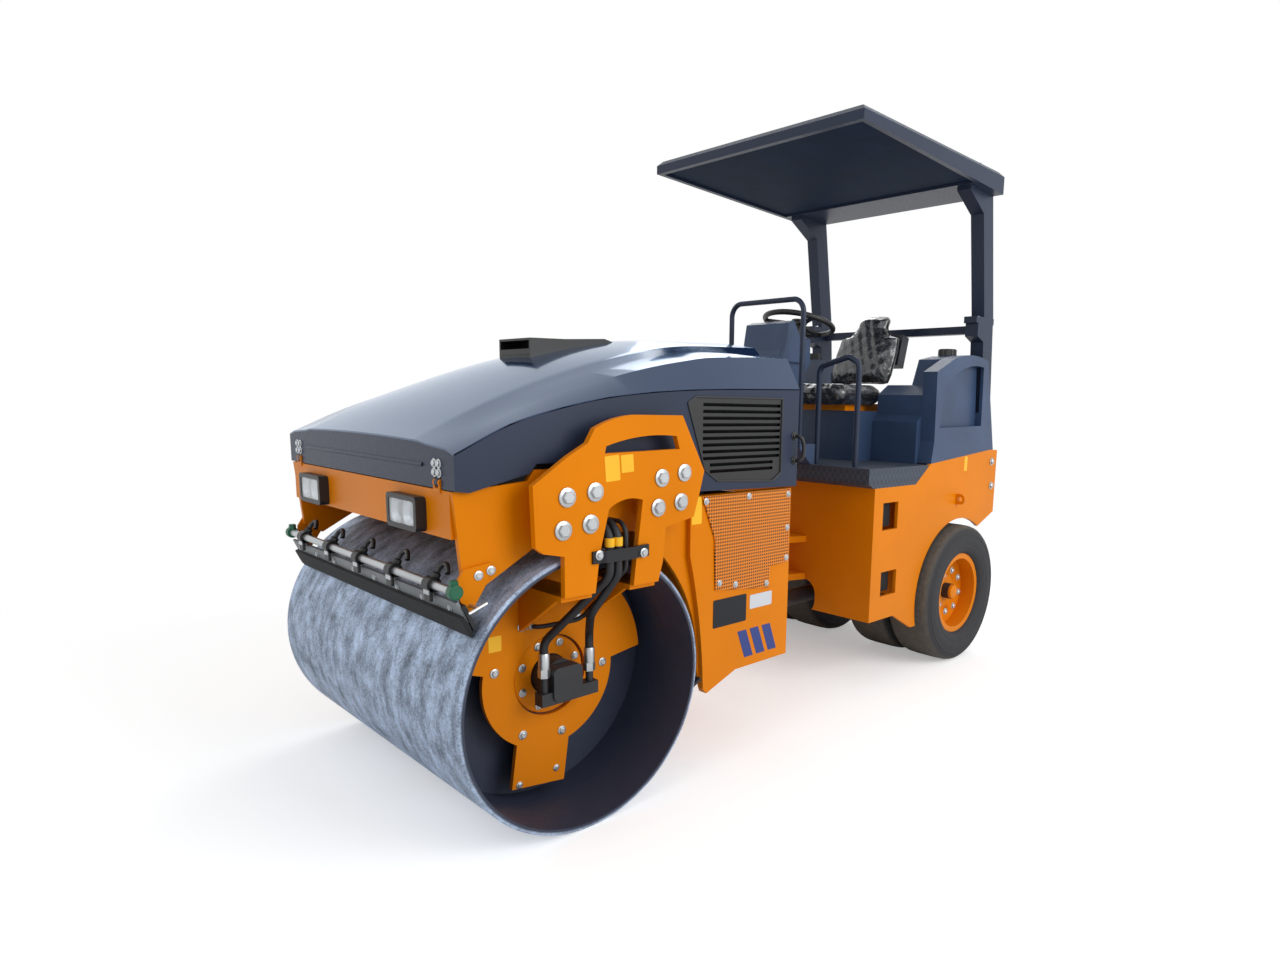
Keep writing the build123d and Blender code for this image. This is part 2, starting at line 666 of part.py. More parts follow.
# Platform: floor with its skirt on the rear frame's front part, hollow under the floor
floor_front = 815
floor_rear = 325
with BuildPart() as platform:
    with BuildSketch(rear_side(rear_half)):
        Polygon((floor_front, rear_deck + 20), (floor_front, floor_z), (floor_rear, floor_z),
                (floor_rear, 1008), (429, rear_deck + seat_gap), (775, rear_deck + seat_gap),
                align=None)
    extrude(amount=2 * rear_half)
    with BuildSketch(rear_side(rear_half - thin_plate)):
        Polygon((440, rear_deck), (440, floor_z - thin_plate),
                (front_face, floor_z - thin_plate), (front_face, rear_deck), align=None)
    extrude(amount=2 * (rear_half - thin_plate), mode=Mode.SUBTRACT)
save(platform, "platform")

# Rear tank: moulded body beside and behind the seat, with the seat's box and two raised ends
tank_half = 495
box_half = 240
box_front = 430
box_top = 1262
tank_top = 1395
tower_in = 375
tower_top = 1545
with BuildPart() as tank:
    with BuildSketch(rear_side(tank_half)):
        Polygon((325, floor_z + seat_gap), (325, 1216), (285, 1250), (285, 1345), (200, tank_top),
                (-150, tank_top), (-180, deck_z(-180) + seat_gap),
                (deck_front, floor_z + seat_gap), align=None)
    extrude(amount=2 * tank_half)
    with BuildSketch(rear_side(box_half)):
        Polygon((325, floor_z + seat_gap), (box_front, floor_z + seat_gap), (box_front, box_top),
                (200, box_top), (200, 1100), (325, 1100), align=None)
    extrude(amount=2 * box_half)
    with BuildSketch(rear_side(box_half)):
        Polygon((350, box_top), (350, 1400), (-160, 1400), (-160, box_top), align=None)
    extrude(amount=2 * box_half, mode=Mode.SUBTRACT)
    for y in (tank_half, -tower_in):
        with BuildSketch(rear_side(y)):
            Polygon((194, tank_top - 5), (140, 1522), (20, tower_top), (-80, tower_top), (-160, 1530),
                    (-150, tank_top - 5), align=None)
        extrude(amount=tank_half - tower_in)
save(tank, "rear_tank")

# Filler caps on the raised ends
cap_r = 42
cap_h = 36
with BuildPart() as caps:
    with BuildSketch(Plane.XY.offset(tower_top + seat_gap)):
        for side in sides.values():
            with Locations((rear_x - 30, side * (tank_half + tower_in) / 2)):
                Circle(cap_r)
    extrude(amount=cap_h)
save(caps, "filler_caps")

# Rollover posts
post_out = rear_half - plate - 1
post_in = post_out - 70
joint_z = 1730
joint_t = 16
post_foot = 1067

# Fender covers with their arched pockets
pocket_depth = 35
for word, side in sides.items():
    with BuildPart() as cover:
        with BuildSketch(rear_side(rear_half)):
            with BuildLine():
                Polyline((292, 1455), (283, 1130), (303, 1022 + seat_gap),
                         (-297, 1074 + seat_gap), (-334, 1074))
                Line((-334, 1074), (-213, 1530))
                ThreePointArc((-213, 1530), (-36, 1549), (126, 1526))
                Line((126, 1526), (292, 1455))
            make_face()
        extrude(amount=rear_half - tank_half - seat_gap)
        with BuildSketch(rear_side(post_out + seat_gap)):
            Polygon((-400, 1000), (-200, 1000), (-150, 1600), (-400, 1600), align=None)
        extrude(amount=200, mode=Mode.SUBTRACT)
        with BuildSketch(rear_side(rear_half)):
            with BuildLine():
                Polyline((-170, 1495), (-180, 1200), (240, 1192), (211, 1377))
                ThreePointArc((211, 1377), (54, 1472), (-170, 1495))
            make_face()
        extrude(amount=pocket_depth, mode=Mode.SUBTRACT)
        if side < 0:
            mirror(about=Plane.XZ, mode=Mode.REPLACE)
    save(cover, f"fender_cover_{word}")

# Seat: suspension, cushion, back with its narrow headpiece and the shell behind it
cushion_z = 1300
cushion_t = 90
with BuildPart() as cushion:
    with BuildSketch(Plane.XY.offset(cushion_z)):
        with Locations((rear_x + 370, 0)):
            RectangleRounded(430, 2 * box_half - 10, 60)
    extrude(amount=cushion_t)
save(cushion, "seat_cushion")

back_low = cushion_z + cushion_t + seat_gap
back_neck = 1645
back_high = 1776
back_front = ((170, back_low), (20, back_high))
back_rear = ((60, back_low), (-40, back_high))
with BuildPart() as back:
    for half, low, high in ((210, 0, 1), (103, 0.6, 1)):
        top = (back_neck - back_low) / (back_high - back_low) if half > 150 else high
        front_low, front_high, rear_high, rear_low_point = [
            (line[0][0] + (line[1][0] - line[0][0]) * share, line[0][1] + (line[1][1] - line[0][1]) * share)
            for line, share in ((back_front, low), (back_front, top), (back_rear, top), (back_rear, low))]
        with BuildSketch(rear_side(half)):
            Polygon(front_low, front_high, rear_high, rear_low_point, align=None)
        extrude(amount=2 * half)
save(back, "seat_back")

with BuildPart() as shell:
    with BuildSketch(rear_side(180)):
        Polygon(*strip((30, 1504), (-12, 1664), seat_gap, 62), align=None)
    extrude(amount=360)
save(shell, "seat_shell")

with BuildPart() as seat_base:
    with BuildSketch(Plane.XY.offset(box_top + seat_gap)):
        with Locations((rear_x + 270, 0)):
            Rectangle(330, 300)
    extrude(amount=cushion_z - box_top - 2 * seat_gap)
save(seat_base, "seat_base")

# Console: apron on the platform's front edge, dash and the arm for the steering column
wheel_lean = 14
wheel_at = Vector(rear_x + 633, 0, 1672)
wheel_ring_r = 165
wheel_tube_r = 13
shaft_l = 70
wheel_plane = Plane(origin=wheel_at, x_dir=(0, 1, 0), z_dir=(-sin(radians(wheel_lean)), 0,
                    sqrt(1 - sin(radians(wheel_lean)) ** 2)))
arm_top = wheel_at - wheel_plane.z_dir * shaft_l
arm_ahead = Vector(wheel_plane.z_dir.Z, 0, -wheel_plane.z_dir.X) * 38
with BuildPart() as console:
    with BuildSketch(rear_side(245)):
        Polygon((785, floor_z), (813, floor_z), (895, 1090), (895, 1110), (785, 1110), align=None)
    extrude(amount=490)
    with BuildSketch(rear_side(110)):
        Polygon((725, floor_z), (810, floor_z), (895, 1095), (905, 1480), (885, 1530), (725, 1530),
                align=None)
    extrude(amount=220)
    with BuildSketch(rear_side(130)):
        Polygon((905, 1478), (885, 1525), (863, 1650), (825, 1664), (775, 1590), (745, 1478),
                align=None)
    extrude(amount=260)
    with BuildSketch(rear_side(60)):
        near, far = arm_top + arm_ahead, arm_top - arm_ahead
        Polygon((760, 1340), (far.X - rear_x, 1480), (far.X - rear_x, far.Z),
                (near.X - rear_x, near.Z), (780, 1560), align=None)
    extrude(amount=120)
save(console, "console")

# Steering wheel: rim, three spokes, hub and the shaft down to the console's arm
with BuildPart() as wheel:
    with BuildSketch(Plane(origin=wheel_at, x_dir=(0, 1, 0), z_dir=wheel_plane.z_dir.cross(Vector(0, 1, 0)))):
        with Locations((wheel_ring_r, 0)):
            Circle(wheel_tube_r)
    revolve(axis=Axis(wheel_at, wheel_plane.z_dir))
    with BuildSketch(wheel_plane.offset(-12)):
        Circle(36)
        for turn in (0, 120, 240):
            with Locations(Location((0, 0), turn + 90)):
                with Locations((wheel_ring_r / 2, 0)):
                    Rectangle(wheel_ring_r, 30)
    extrude(amount=14)
    with BuildSketch(wheel_plane.offset(-shaft_l)):
        Circle(18)
    extrude(amount=shaft_l)
save(wheel, "steering_wheel")

# Grab rail over the console, and a step rail on each side of the platform
grab_r = 12
grab_x = rear_x + 870
with BuildPart() as grab:
    with BuildLine(cross_plane(grab_x)) as path:
        FilletPolyline((220, 1110), (220, 1750), (-220, 1750), (-220, 1110), radius=60)
    with BuildSketch(Plane.XY.offset(1110)):
        with Locations((grab_x, 220)):
            Circle(grab_r)
    sweep(path=path.wire())
save(grab, "grab_rail")

rail_r = 13
rail_x = rear_x + 765
with BuildPart() as rails:
    for side in sides.values():
        with BuildLine(cross_plane(rail_x)) as path:
            FilletPolyline((side * 240, floor_z), (side * 240, 1458), (side * 400, 1500),
                           (side * 457, 1470), (side * 457, floor_z), radius=40)
        with BuildSketch(Plane.XY.offset(floor_z)):
            with Locations((rail_x, side * 240)):
                Circle(rail_r)
        sweep(path=path.wire())
save(rails, "step_rails")

# Rollover posts, crossbar and canopy
with BuildPart() as rops_lower:
    for y in (post_out, -post_in):
        with BuildSketch(rear_side(y)):
            Polygon((-319, post_foot), (-219, post_foot - 5), (-168, joint_z - joint_t),
                    (-268, joint_z - joint_t), align=None)
            Polygon((-90, joint_z), (-275, joint_z), (-275, joint_z - joint_t),
                    (-90, joint_z - joint_t), align=None)
            Polygon((-110, joint_z - joint_t), (-110, 1650), (-205, 1612),
                    (-170, joint_z - joint_t), align=None)
        extrude(amount=post_out - post_in)
    with BuildSketch(rear_side(post_in)):
        with Locations((-220, 1690)):
            Rectangle(50, 40)
    extrude(amount=2 * post_in)
save(rops_lower, "rops_lower")

post_head = 2330
canopy_half = 605
canopy_front = 1019
canopy_rear = -176
canopy_front_low = 2374
canopy_lip = 25
canopy_bevel = 22
eye_hole_r = 11
eye_plate_r = 24
eye_rise = 14
canopy_eyes = ((820, -520), (-80, 520))


def canopy_low(x):
    """Height of the canopy's underside at a distance ahead of the rear axle."""
    share = (x - canopy_rear) / (canopy_front - canopy_rear)
    return post_head + (canopy_front_low - post_head) * share


with BuildPart() as rops_upper:
    for y in (post_out, -post_in):
        with BuildSketch(rear_side(y)):
            Polygon((-90, joint_z), (-275, joint_z), (-275, joint_z + joint_t),
                    (-268, joint_z + joint_t), (-175, canopy_low(-175) - seat_gap),
                    (-75, canopy_low(-75) - seat_gap),
                    (-168, joint_z + joint_t), (-90, joint_z + joint_t), align=None)
            Polygon((-98, 2230), (-80, canopy_low(-80) - seat_gap), (60, canopy_low(60) - seat_gap),
                    (60, 2320), (-62, 2250), align=None)
        extrude(amount=post_out - post_in)
save(rops_upper, "rops_upper")

with BuildPart() as canopy:
    with BuildSketch(rear_side(canopy_half)):
        Polygon((canopy_front, canopy_top), (canopy_front, canopy_front_low),
                (canopy_rear, post_head), (canopy_rear, canopy_top), align=None)
    extrude(amount=2 * canopy_half)
    chamfer(canopy.faces().sort_by(Axis.Z)[-1].edges(), canopy_bevel)
    with BuildSketch(rear_side(canopy_half - canopy_lip)):
        Polygon((canopy_front - canopy_lip, 2300), (canopy_front - canopy_lip, canopy_front_low + 14),
                (80, canopy_low(80) + 14), (80, 2300), align=None)
    extrude(amount=2 * (canopy_half - canopy_lip), mode=Mode.SUBTRACT)
    for x, y in canopy_eyes:
        with BuildSketch(rear_side(y + thin_plate / 2)):
            with Locations((x, canopy_top + eye_rise)):
                Circle(eye_plate_r)
                Circle(eye_hole_r, mode=Mode.SUBTRACT)
        extrude(amount=thin_plate)
save(canopy, "canopy")

# Hydraulic hoses: straight out of the cheek, down through the clamp and in to the drum motor
hose_r = 13
line_r = 7
hose_z = 930
clamp_z = 840
hose_y = yoke_in + 15
hose_bend = 60
line_bend = 40
hose_runs = ((-47, hose_r, hose_bend, ((-47, hose_y, 775), (port_front[0], port_y, 560),
                                       (port_front[0], port_y, port_front[1]))),
             (-77, hose_r, hose_bend, ((-77, hose_y, 775), (-30, 600, 650),
                                       (port_rear[0], port_y, 560),
                                       (port_rear[0], port_y, port_rear[1]))),
             (-107, line_r, line_bend, ((-107, hose_y, 790), (-50, port_y + 20, 615),
                                        (84, hub_y + 52, 604), (84, hub_y, 604))))
with BuildPart() as hoses:
    for side in sides.values():
        for x, r, bend, lower in hose_runs:
            route = ((x, frame_half, hose_z), (x, hose_y, hose_z)) + lower
            points = [(drum_x + px, side * py, pz) for px, py, pz in route]
            with BuildLine() as path:
                FilletPolyline(*points, radius=bend)
            with BuildSketch(Plane(origin=points[0], z_dir=(0, side, 0))):
                Circle(r)
            sweep(path=path.wire())
save(hoses, "hoses")

# Clamp bars that hold the hoses on the yoke plates
clamp_h = 36
clamp_t = 8
with BuildPart() as clamps:
    for side in sides.values():
        with BuildSketch(Plane.XY.offset(clamp_z - clamp_h / 2)):
            raised = hose_y + hose_r + 1
            bar = [(20, yoke_out), (-14, yoke_out), (-24, raised), (-128, raised), (-140, yoke_out),
                   (-185, yoke_out), (-185, yoke_out + clamp_t), (-146, yoke_out + clamp_t),
                   (-132, raised + clamp_t), (-20, raised + clamp_t), (-8, yoke_out + clamp_t),
                   (20, yoke_out + clamp_t)]
            Polygon(*[(drum_x + x, side * y) for x, y in bar], align=None)
        extrude(amount=clamp_h)
save(clamps, "hose_clamps")

# Mesh covers on the outer rear panels
cover_t = 6
with BuildPart() as meshes:
    for y in (panel_half + cover_t, -panel_half):
        with BuildSketch(front_side(y)):
            Polygon((-473, panel_top), (-534, 829), (-542, 646), (-819, 614), (-824, 694),
                    (-929, 698), (-929, panel_top), align=None)
        extrude(amount=cover_t)
save(meshes, "mesh_covers")

# Headlamps on the front beam
lamp_w = 185
lamp_h = 95
lamp_t = 30
lamp_wall = 9
lamp_y = 350
lamp_z = 970
with BuildPart() as lamps:
    with BuildSketch(cross_plane(drum_x + beam_x)):
        with Locations((lamp_y, lamp_z), (-lamp_y, lamp_z)):
            RectangleRounded(lamp_w, lamp_h, 14)
    extrude(amount=lamp_t)
    with BuildSketch(cross_plane(drum_x + beam_x + lamp_t)):
        with Locations((lamp_y, lamp_z), (-lamp_y, lamp_z)):
            RectangleRounded(lamp_w - 2 * lamp_wall, lamp_h - 2 * lamp_wall, 8)
    extrude(amount=-lamp_t + 8, mode=Mode.SUBTRACT)
save(lamps, "headlamps")

with BuildPart() as lenses:
    with BuildSketch(cross_plane(drum_x + beam_x + lamp_t - 2)):
        with Locations((lamp_y, lamp_z), (-lamp_y, lamp_z)):
            RectangleRounded(lamp_w - 2 * lamp_wall - 2 * seat_gap,
                             lamp_h - 2 * lamp_wall - 2 * seat_gap, 8)
    extrude(amount=-5)
save(lenses, "headlamp_lenses")

# Spray bar with its nozzle clamps and end caps
bar_x = 400
bar_z = 787
bar_r = 12
nozzle_step = 240
end_cap_l = 14
with BuildPart() as spray:
    with BuildSketch(front_side(wiper_half - 5)):
        with Locations((bar_x, bar_z)):
            Circle(bar_r)
    extrude(amount=2 * wiper_half - 10)
    for i in range(-2, 3):
        with BuildSketch(front_side(i * nozzle_step + 16)):
            with Locations((bar_x, bar_z)):
                Circle(bar_r + 8)
            with Locations((bar_x + 8, bar_z - 19)):
                Rectangle(16, 14)
        extrude(amount=32)
    for y in (wiper_half - 5, -wiper_half + 5 + end_cap_l):
        with BuildSketch(front_side(y)):
            with Locations((bar_x, bar_z)):
                Circle(bar_r + 5)
        extrude(amount=end_cap_l)
    for y in (frame_half + thin_plate, -frame_half):
        with BuildSketch(front_side(y)):
            Polygon((386, 776), (386, 798), (bar_x, 798), (bar_x, 776), align=None)
        extrude(amount=thin_plate)
save(spray, "spray_bar")

# Wiper bars and blades, front and rear
with BuildPart() as bars:
    front_low = along_line(*front_wiper, front_bar_l)
    with BuildSketch(front_side(wiper_half - 8)):
        Polygon(*strip(front_wiper[0], front_low, 0, wiper_bar_t), align=None)
    extrude(amount=2 * wiper_half - 16)
    rear_inner = frame_half - plate - seat_gap
    with BuildSketch(front_side(rear_inner)):
        Polygon(*strip(along_line(arch_low, arch_foot, 20), along_line(arch_low, arch_foot, 65),
                       0, wiper_bar_t), align=None)
        Polygon(*strip(along_line(*rear_wiper, 4), along_line(*rear_wiper, rear_bar_l),
                       -wiper_bar_t, 0), align=None)
    extrude(amount=2 * rear_inner)
save(bars, "wiper_bars")

with BuildPart() as blades:
    blade_ends = [along_line(*front_wiper, distance) for distance in front_blade]
    with BuildSketch(front_side(wiper_half)):
        Polygon(*strip(*blade_ends, -wiper_t, 0), align=None)
    extrude(amount=2 * wiper_half)
    near, middle, tip = [along_line(*rear_wiper, distance) for distance in rear_blade]
    for half, first, last in ((rear_inner, near, tip), (wiper_half, middle, tip)):
        with BuildSketch(front_side(half)):
            Polygon(*strip(first, last, 0, wiper_t), align=None)
        extrude(amount=2 * half)
save(blades, "wiper_blades")
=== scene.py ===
"""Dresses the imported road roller: finishes, fittings, seat, light and camera.

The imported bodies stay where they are. Every new piece is a surface worked out with numpy in the
same frame. Places are written in millimetres, x forward to the drum, y to the machine's left and
z up, and become metres when a mesh is made.
"""
import json
from functools import cache
from math import cos, pi, radians, sin

import bmesh
import bpy
import numpy as np
from bpy.props import FloatProperty, FloatVectorProperty, PointerProperty
from mathutils import Matrix, Vector


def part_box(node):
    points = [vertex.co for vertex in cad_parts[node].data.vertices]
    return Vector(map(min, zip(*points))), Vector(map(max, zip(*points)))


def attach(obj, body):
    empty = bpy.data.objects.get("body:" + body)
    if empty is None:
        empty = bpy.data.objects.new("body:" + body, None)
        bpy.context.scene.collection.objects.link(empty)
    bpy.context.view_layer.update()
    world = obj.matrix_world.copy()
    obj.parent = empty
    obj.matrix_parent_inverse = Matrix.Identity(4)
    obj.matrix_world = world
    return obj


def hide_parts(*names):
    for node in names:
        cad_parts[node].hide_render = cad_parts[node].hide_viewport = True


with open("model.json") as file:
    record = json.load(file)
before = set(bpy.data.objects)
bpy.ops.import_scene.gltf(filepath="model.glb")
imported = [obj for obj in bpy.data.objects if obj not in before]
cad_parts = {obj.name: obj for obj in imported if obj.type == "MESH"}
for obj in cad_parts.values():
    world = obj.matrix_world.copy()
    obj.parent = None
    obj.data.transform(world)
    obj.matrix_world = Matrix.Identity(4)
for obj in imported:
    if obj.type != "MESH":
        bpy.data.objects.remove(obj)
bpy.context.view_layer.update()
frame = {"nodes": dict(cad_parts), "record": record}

bl_info = {
    "name": "Road Roller Dressing",
    "version": (1, 0, 0),
    "blender": (4, 5, 0),
    "location": "3D View > Sidebar > Roller",
    "description": "Adds the finishes and small fittings of an articulated road roller",
    "category": "Object",
}

MM = 0.001
SIDES = (("left", 1), ("right", -1))

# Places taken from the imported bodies, in mm
drum_low, drum_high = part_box("drum")
DRUM_X = (drum_low[0] + drum_high[0]) / 2 / MM
DRUM_R = (drum_high[2] - drum_low[2]) / 2 / MM
tyre_low, tyre_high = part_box("tyres_left")
REAR_X = (tyre_low[0] + tyre_high[0]) / 2 / MM
TYRE_R = (tyre_high[2] - tyre_low[2]) / 2 / MM

# Faces that carry fittings, as distances from the middle plane in mm
HUB_FACE = 428
YOKE_FACE = 676
PANEL_FACE = 610
HOOD_SIDE = 605

# Middle planes of the tyres, the hose clamp's thickness, the lamps' height and the spray pipe's
# place ahead of the drum's axle and above the ground, in mm
TYRE_ROWS = (505, 245)
CLAMP_T = 8
LAMP_Z = 970
PIPE_X, PIPE_Z = 400, 787

# Seat pads: the remesh's grid in mm, the cloth's pressure and the frames it runs for
PAD_GRID, PAD_PRESSURE, PAD_FRAMES = 6, 4.0, 20


def front(*places):
    """Places measured from under the drum's axle."""
    return np.array(places, float).reshape(-1, 3) + (DRUM_X, 0, 0)


def rear(*places):
    """Places measured from under the rear axle."""
    return np.array(places, float).reshape(-1, 3) + (REAR_X, 0, 0)


def mirrored(places, side):
    return np.asarray(places, float) * (1, side, 1)


def spot(place, side=1, base=front):
    """One place, given for the left side, on the side that is asked for."""
    return mirrored(base(place), side)[0]


def circle(radius, turns, y, z):
    """Places on an upright circle that faces sideways."""
    return np.stack((radius * np.cos(turns), np.full(len(turns), y, float),
                     z + radius * np.sin(turns)), -1)


def quads(rows, columns, wrap):
    """Faces of a grid of points, with the last column joined to the first where it wraps."""
    row, column = np.meshgrid(np.arange(rows - 1), np.arange(columns if wrap else columns - 1),
                              indexing="ij")
    across = (column + 1) % columns
    corners = (row * columns + column, row * columns + across,
               (row + 1) * columns + across, (row + 1) * columns + column)
    return np.stack(corners, -1).reshape(-1, 4).tolist()


def tube(rows, columns):
    """Faces of a closed tube: a wrapped grid with a cap on its first and its last row."""
    last = (rows - 1) * columns
    return quads(rows, columns, True) + [list(range(columns))[::-1],
                                         list(range(last, last + columns))]


def frame_of(axis):
    """Two unit directions square to the axis and to each other."""
    axis = np.array(axis, float)
    axis /= np.linalg.norm(axis)
    other = np.array((0, 0, 1.0)) if abs(axis[2]) < 0.9 else np.array((1.0, 0, 0))
    across = np.cross(other, axis)
    across /= np.linalg.norm(across)
    return axis, across, np.cross(axis, across)


def lathe(profile, start, axis, count=32):
    """A turned shape: point = start + a along the axis + r (cos u, sin u) square to it."""
    profile = np.array(profile, float)
    axis, across, up = frame_of(axis)
    u = np.linspace(0, 2 * pi, count, endpoint=False)
    ring = np.cos(u)[:, None] * across + np.sin(u)[:, None] * up
    points = (np.array(start, float) + profile[:, 0, None, None] * axis
              + profile[:, 1, None, None] * ring)
    return points.reshape(-1, 3), quads(len(profile), count, True)


def carried(path, radii, count=12, reference=(0, 0, 1)):
    """A tube: at each path point a ring of the given radius stands square to the path."""
    path = np.array(path, float)
    radii = np.broadcast_to(np.array(radii, float), (len(path),))
    along = np.gradient(path, axis=0)
    along /= np.linalg.norm(along, axis=1)[:, None]
    across = np.cross(along, reference)
    across /= np.linalg.norm(across, axis=1)[:, None]
    up = np.cross(across, along)
    u = np.linspace(0, 2 * pi, count, endpoint=False)
    ring = (np.cos(u)[None, :, None] * across[:, None] + np.sin(u)[None, :, None] * up[:, None])
    points = path[:, None] + radii[:, None, None] * ring
    return points.reshape(-1, 3), tube(len(path), count)


def smooth_path(corners, steps=8):
    """A curve through the corners: each span is the cubic of its four nearest corners."""
    c = np.array(corners, float)
    c = np.vstack((2 * c[0] - c[1], c, 2 * c[-1] - c[-2]))
    t = np.linspace(0, 1, steps, endpoint=False)[None, :, None]
    a, b, d, e = c[:-3, None], c[1:-2, None], c[2:-1, None], c[3:, None]
    spans = 0.5 * (2 * b + (d - a) * t + (2 * a - 5 * b + 4 * d - e) * t ** 2
                   + (3 * b - a - 3 * d + e) * t ** 3)
    return np.vstack((spans.reshape(-1, c.shape[1]), c[-2]))


def rounded(width, height, radius, steps=4):
    """A rectangle's outline with quarter circles at its corners."""
    turn = np.linspace(0, pi / 2, steps)
    centres = np.array(((1, 1), (-1, 1), (-1, -1), (1, -1))) * (width / 2 - radius,
                                                                 height / 2 - radius)
    angles = turn[None, :] + np.arange(4)[:, None] * pi / 2
    arcs = centres[:, None] + radius * np.stack((np.cos(angles), np.sin(angles)), -1)
    return arcs.reshape(-1, 2)


def slab(outline, origin, across, up, thick, edge=0.0):
    """A plate: the outline stands off its plane by its thickness, with a softened front edge."""
    outline = np.array(outline, float)
    across, up = np.array(across, float), np.array(up, float)
    out = np.cross(across, up)
    middle = outline.mean(axis=0)
    away = outline - middle
    shrunk = middle + away * (1 - edge / np.linalg.norm(away, axis=1))[:, None]
    rings = ((outline, 0.0), (outline, thick - edge), (shrunk, thick))
    points = np.concatenate([np.array(origin, float) + ring[:, :1] * across + ring[:, 1:] * up
                             + height * out for ring, height in rings])
    return points, tube(3, len(outline))


def bolts(places, axis, radius, sides=6):
    """Bolt heads on washers: one turned head, moved to each place."""
    r = radius
    washer, faces = lathe(((0, 0), (0, 1.45 * r), (0.25 * r, 1.45 * r), (0.32 * r, 1.3 * r),
                           (0.32 * r, 0)), (0, 0, 0), axis, 16)
    head, more = lathe(((0.3 * r, 0), (0.3 * r, r), (0.72 * r, r), (0.84 * r, 0.82 * r),
                        (0.84 * r, 0)), (0, 0, 0), axis, sides)
    points = np.vstack((washer, head))
    faces = faces + [[i + len(washer) for i in face] for face in more]
    places = np.asarray(places, float)
    every = places[:, None] + points[None]
    count = len(points)
    return every.reshape(-1, 3), [[i + k * count for i in face] for k in range(len(places))
                                  for face in faces]


def side_bolts(places, side, radius, sides=6, base=front):
    """Bolt heads that point out sideways, at places given for the left side."""
    return bolts(mirrored(base(*places), side), (0, side, 0), radius, sides)


def skin(top, thick):
    """A closed sheet: the given grid of points above, the same grid lower by its thickness."""
    rows, columns = top.shape[:2]
    n = rows * columns
    points = np.vstack((top.reshape(-1, 3), top.reshape(-1, 3) - (0, 0, thick)))
    faces = quads(rows, columns, False)
    faces += [[i + n for i in face[::-1]] for face in faces]
    index = np.arange(n).reshape(rows, columns)
    loop = np.concatenate((index[0], index[1:, -1], index[-1, -2::-1], index[-2:0:-1, 0]))
    after = np.roll(loop, -1)
    return points, faces + np.stack((loop, after, after + n, loop + n), -1).tolist()


def piece(name, surfaces, body, finish, crease=35):
    """One object made of several closed surfaces, riding on a body."""
    verts, faces, start = [], [], 0
    for points, corners in surfaces:
        verts.append(points)
        faces += [[i + start for i in face] for face in corners]
        start += len(points)
    mesh = bpy.data.meshes.new(name)
    mesh.from_pydata((np.vstack(verts) * MM).tolist(), [], faces)
    work = bmesh.new()
    work.from_mesh(mesh)
    bmesh.ops.remove_doubles(work, verts=work.verts, dist=2e-6)
    bmesh.ops.recalc_face_normals(work, faces=work.faces)
    work.to_mesh(mesh)
    work.free()
    mesh.shade_smooth()
    mesh.set_sharp_from_angle(angle=radians(crease))
    mesh.materials.append(finish if isinstance(finish, bpy.types.Material) else finish_of(finish))
    thing = bpy.data.objects.new(name, mesh)
    bpy.context.scene.collection.objects.link(thing)
    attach(thing, body)
    return thing


def film(name, centre, width, height, side, body, finish, corner=4, thick=0.8, edge=0.3,
         lean=0.0):
    """A thin plate or sticker on a face that looks sideways, turned by a lean in radians."""
    across = (-side * cos(lean), 0, -side * sin(lean))
    up = (-sin(lean), 0, cos(lean))
    sheet = slab(rounded(width, height, corner), mirrored(centre, side), across, up, thick, edge)
    piece(name, [sheet], body, finish)


def linear(code):
    """A six figure sRGB hex code as three linear parts."""
    parts = [int(code[i:i + 2], 16) / 255 for i in (0, 2, 4)]
    return tuple(p / 12.92 if p <= 0.04045 else ((p + 0.055) / 1.055) ** 2.4 for p in parts)


def rgba(colour, k=1.0):
    return (*(min(1.0, c * k) for c in colour[:3]), 1.0)


def add(tree, kind, inputs=None, stops=None, to=None, out=0, **settings):
    """Add a node: apply its settings, fill or link its inputs, set a ramp's stops, link it on."""
    node = tree.nodes.new(kind)
    for key, value in settings.items():
        setattr(node, key, value)
    for key, value in (inputs or {}).items():
        if isinstance(value, bpy.types.Node):
            value = value.outputs[0]
        if isinstance(value, bpy.types.NodeSocket):
            tree.links.new(value, node.inputs[key])
        else:
            node.inputs[key].default_value = value
    if stops:
        band = node.color_ramp
        while len(band.elements) < len(stops):
            band.elements.new(0.5)
        for element, (place, colour) in zip(band.elements, stops):
            element.position, element.color = place, colour
    if to:
        tree.links.new(node.outputs[out], to)
    return node


def start(name, **sockets):
    """An empty node material: its tree, its shader with uniform sockets set, and Object places."""
    made = bpy.data.materials.new(name)
    made.use_nodes = True
    tree = made.node_tree
    tree.nodes.clear()
    shader = add(tree, "ShaderNodeBsdfPrincipled")
    for key, value in sockets.items():
        shader.inputs[key.replace("_", " ")].default_value = value
    add(tree, "ShaderNodeOutputMaterial", {"Surface": shader})
    return made, tree, shader, add(tree, "ShaderNodeTexCoord").outputs["Object"]


def from_axis(tree, place, x, z):
    """Distance of each place from a crosswise axis at the given x and z."""
    centred = add(tree, "ShaderNodeMapping", {"Vector": place, "Location": (-x, 0.0, -z)})
    flat = add(tree, "ShaderNodeVectorMath", {0: centred, 1: (1.0, 0.0, 1.0)},
               operation="MULTIPLY")
    return add(tree, "ShaderNodeVectorMath", {0: flat}, operation="LENGTH").outputs["Value"]


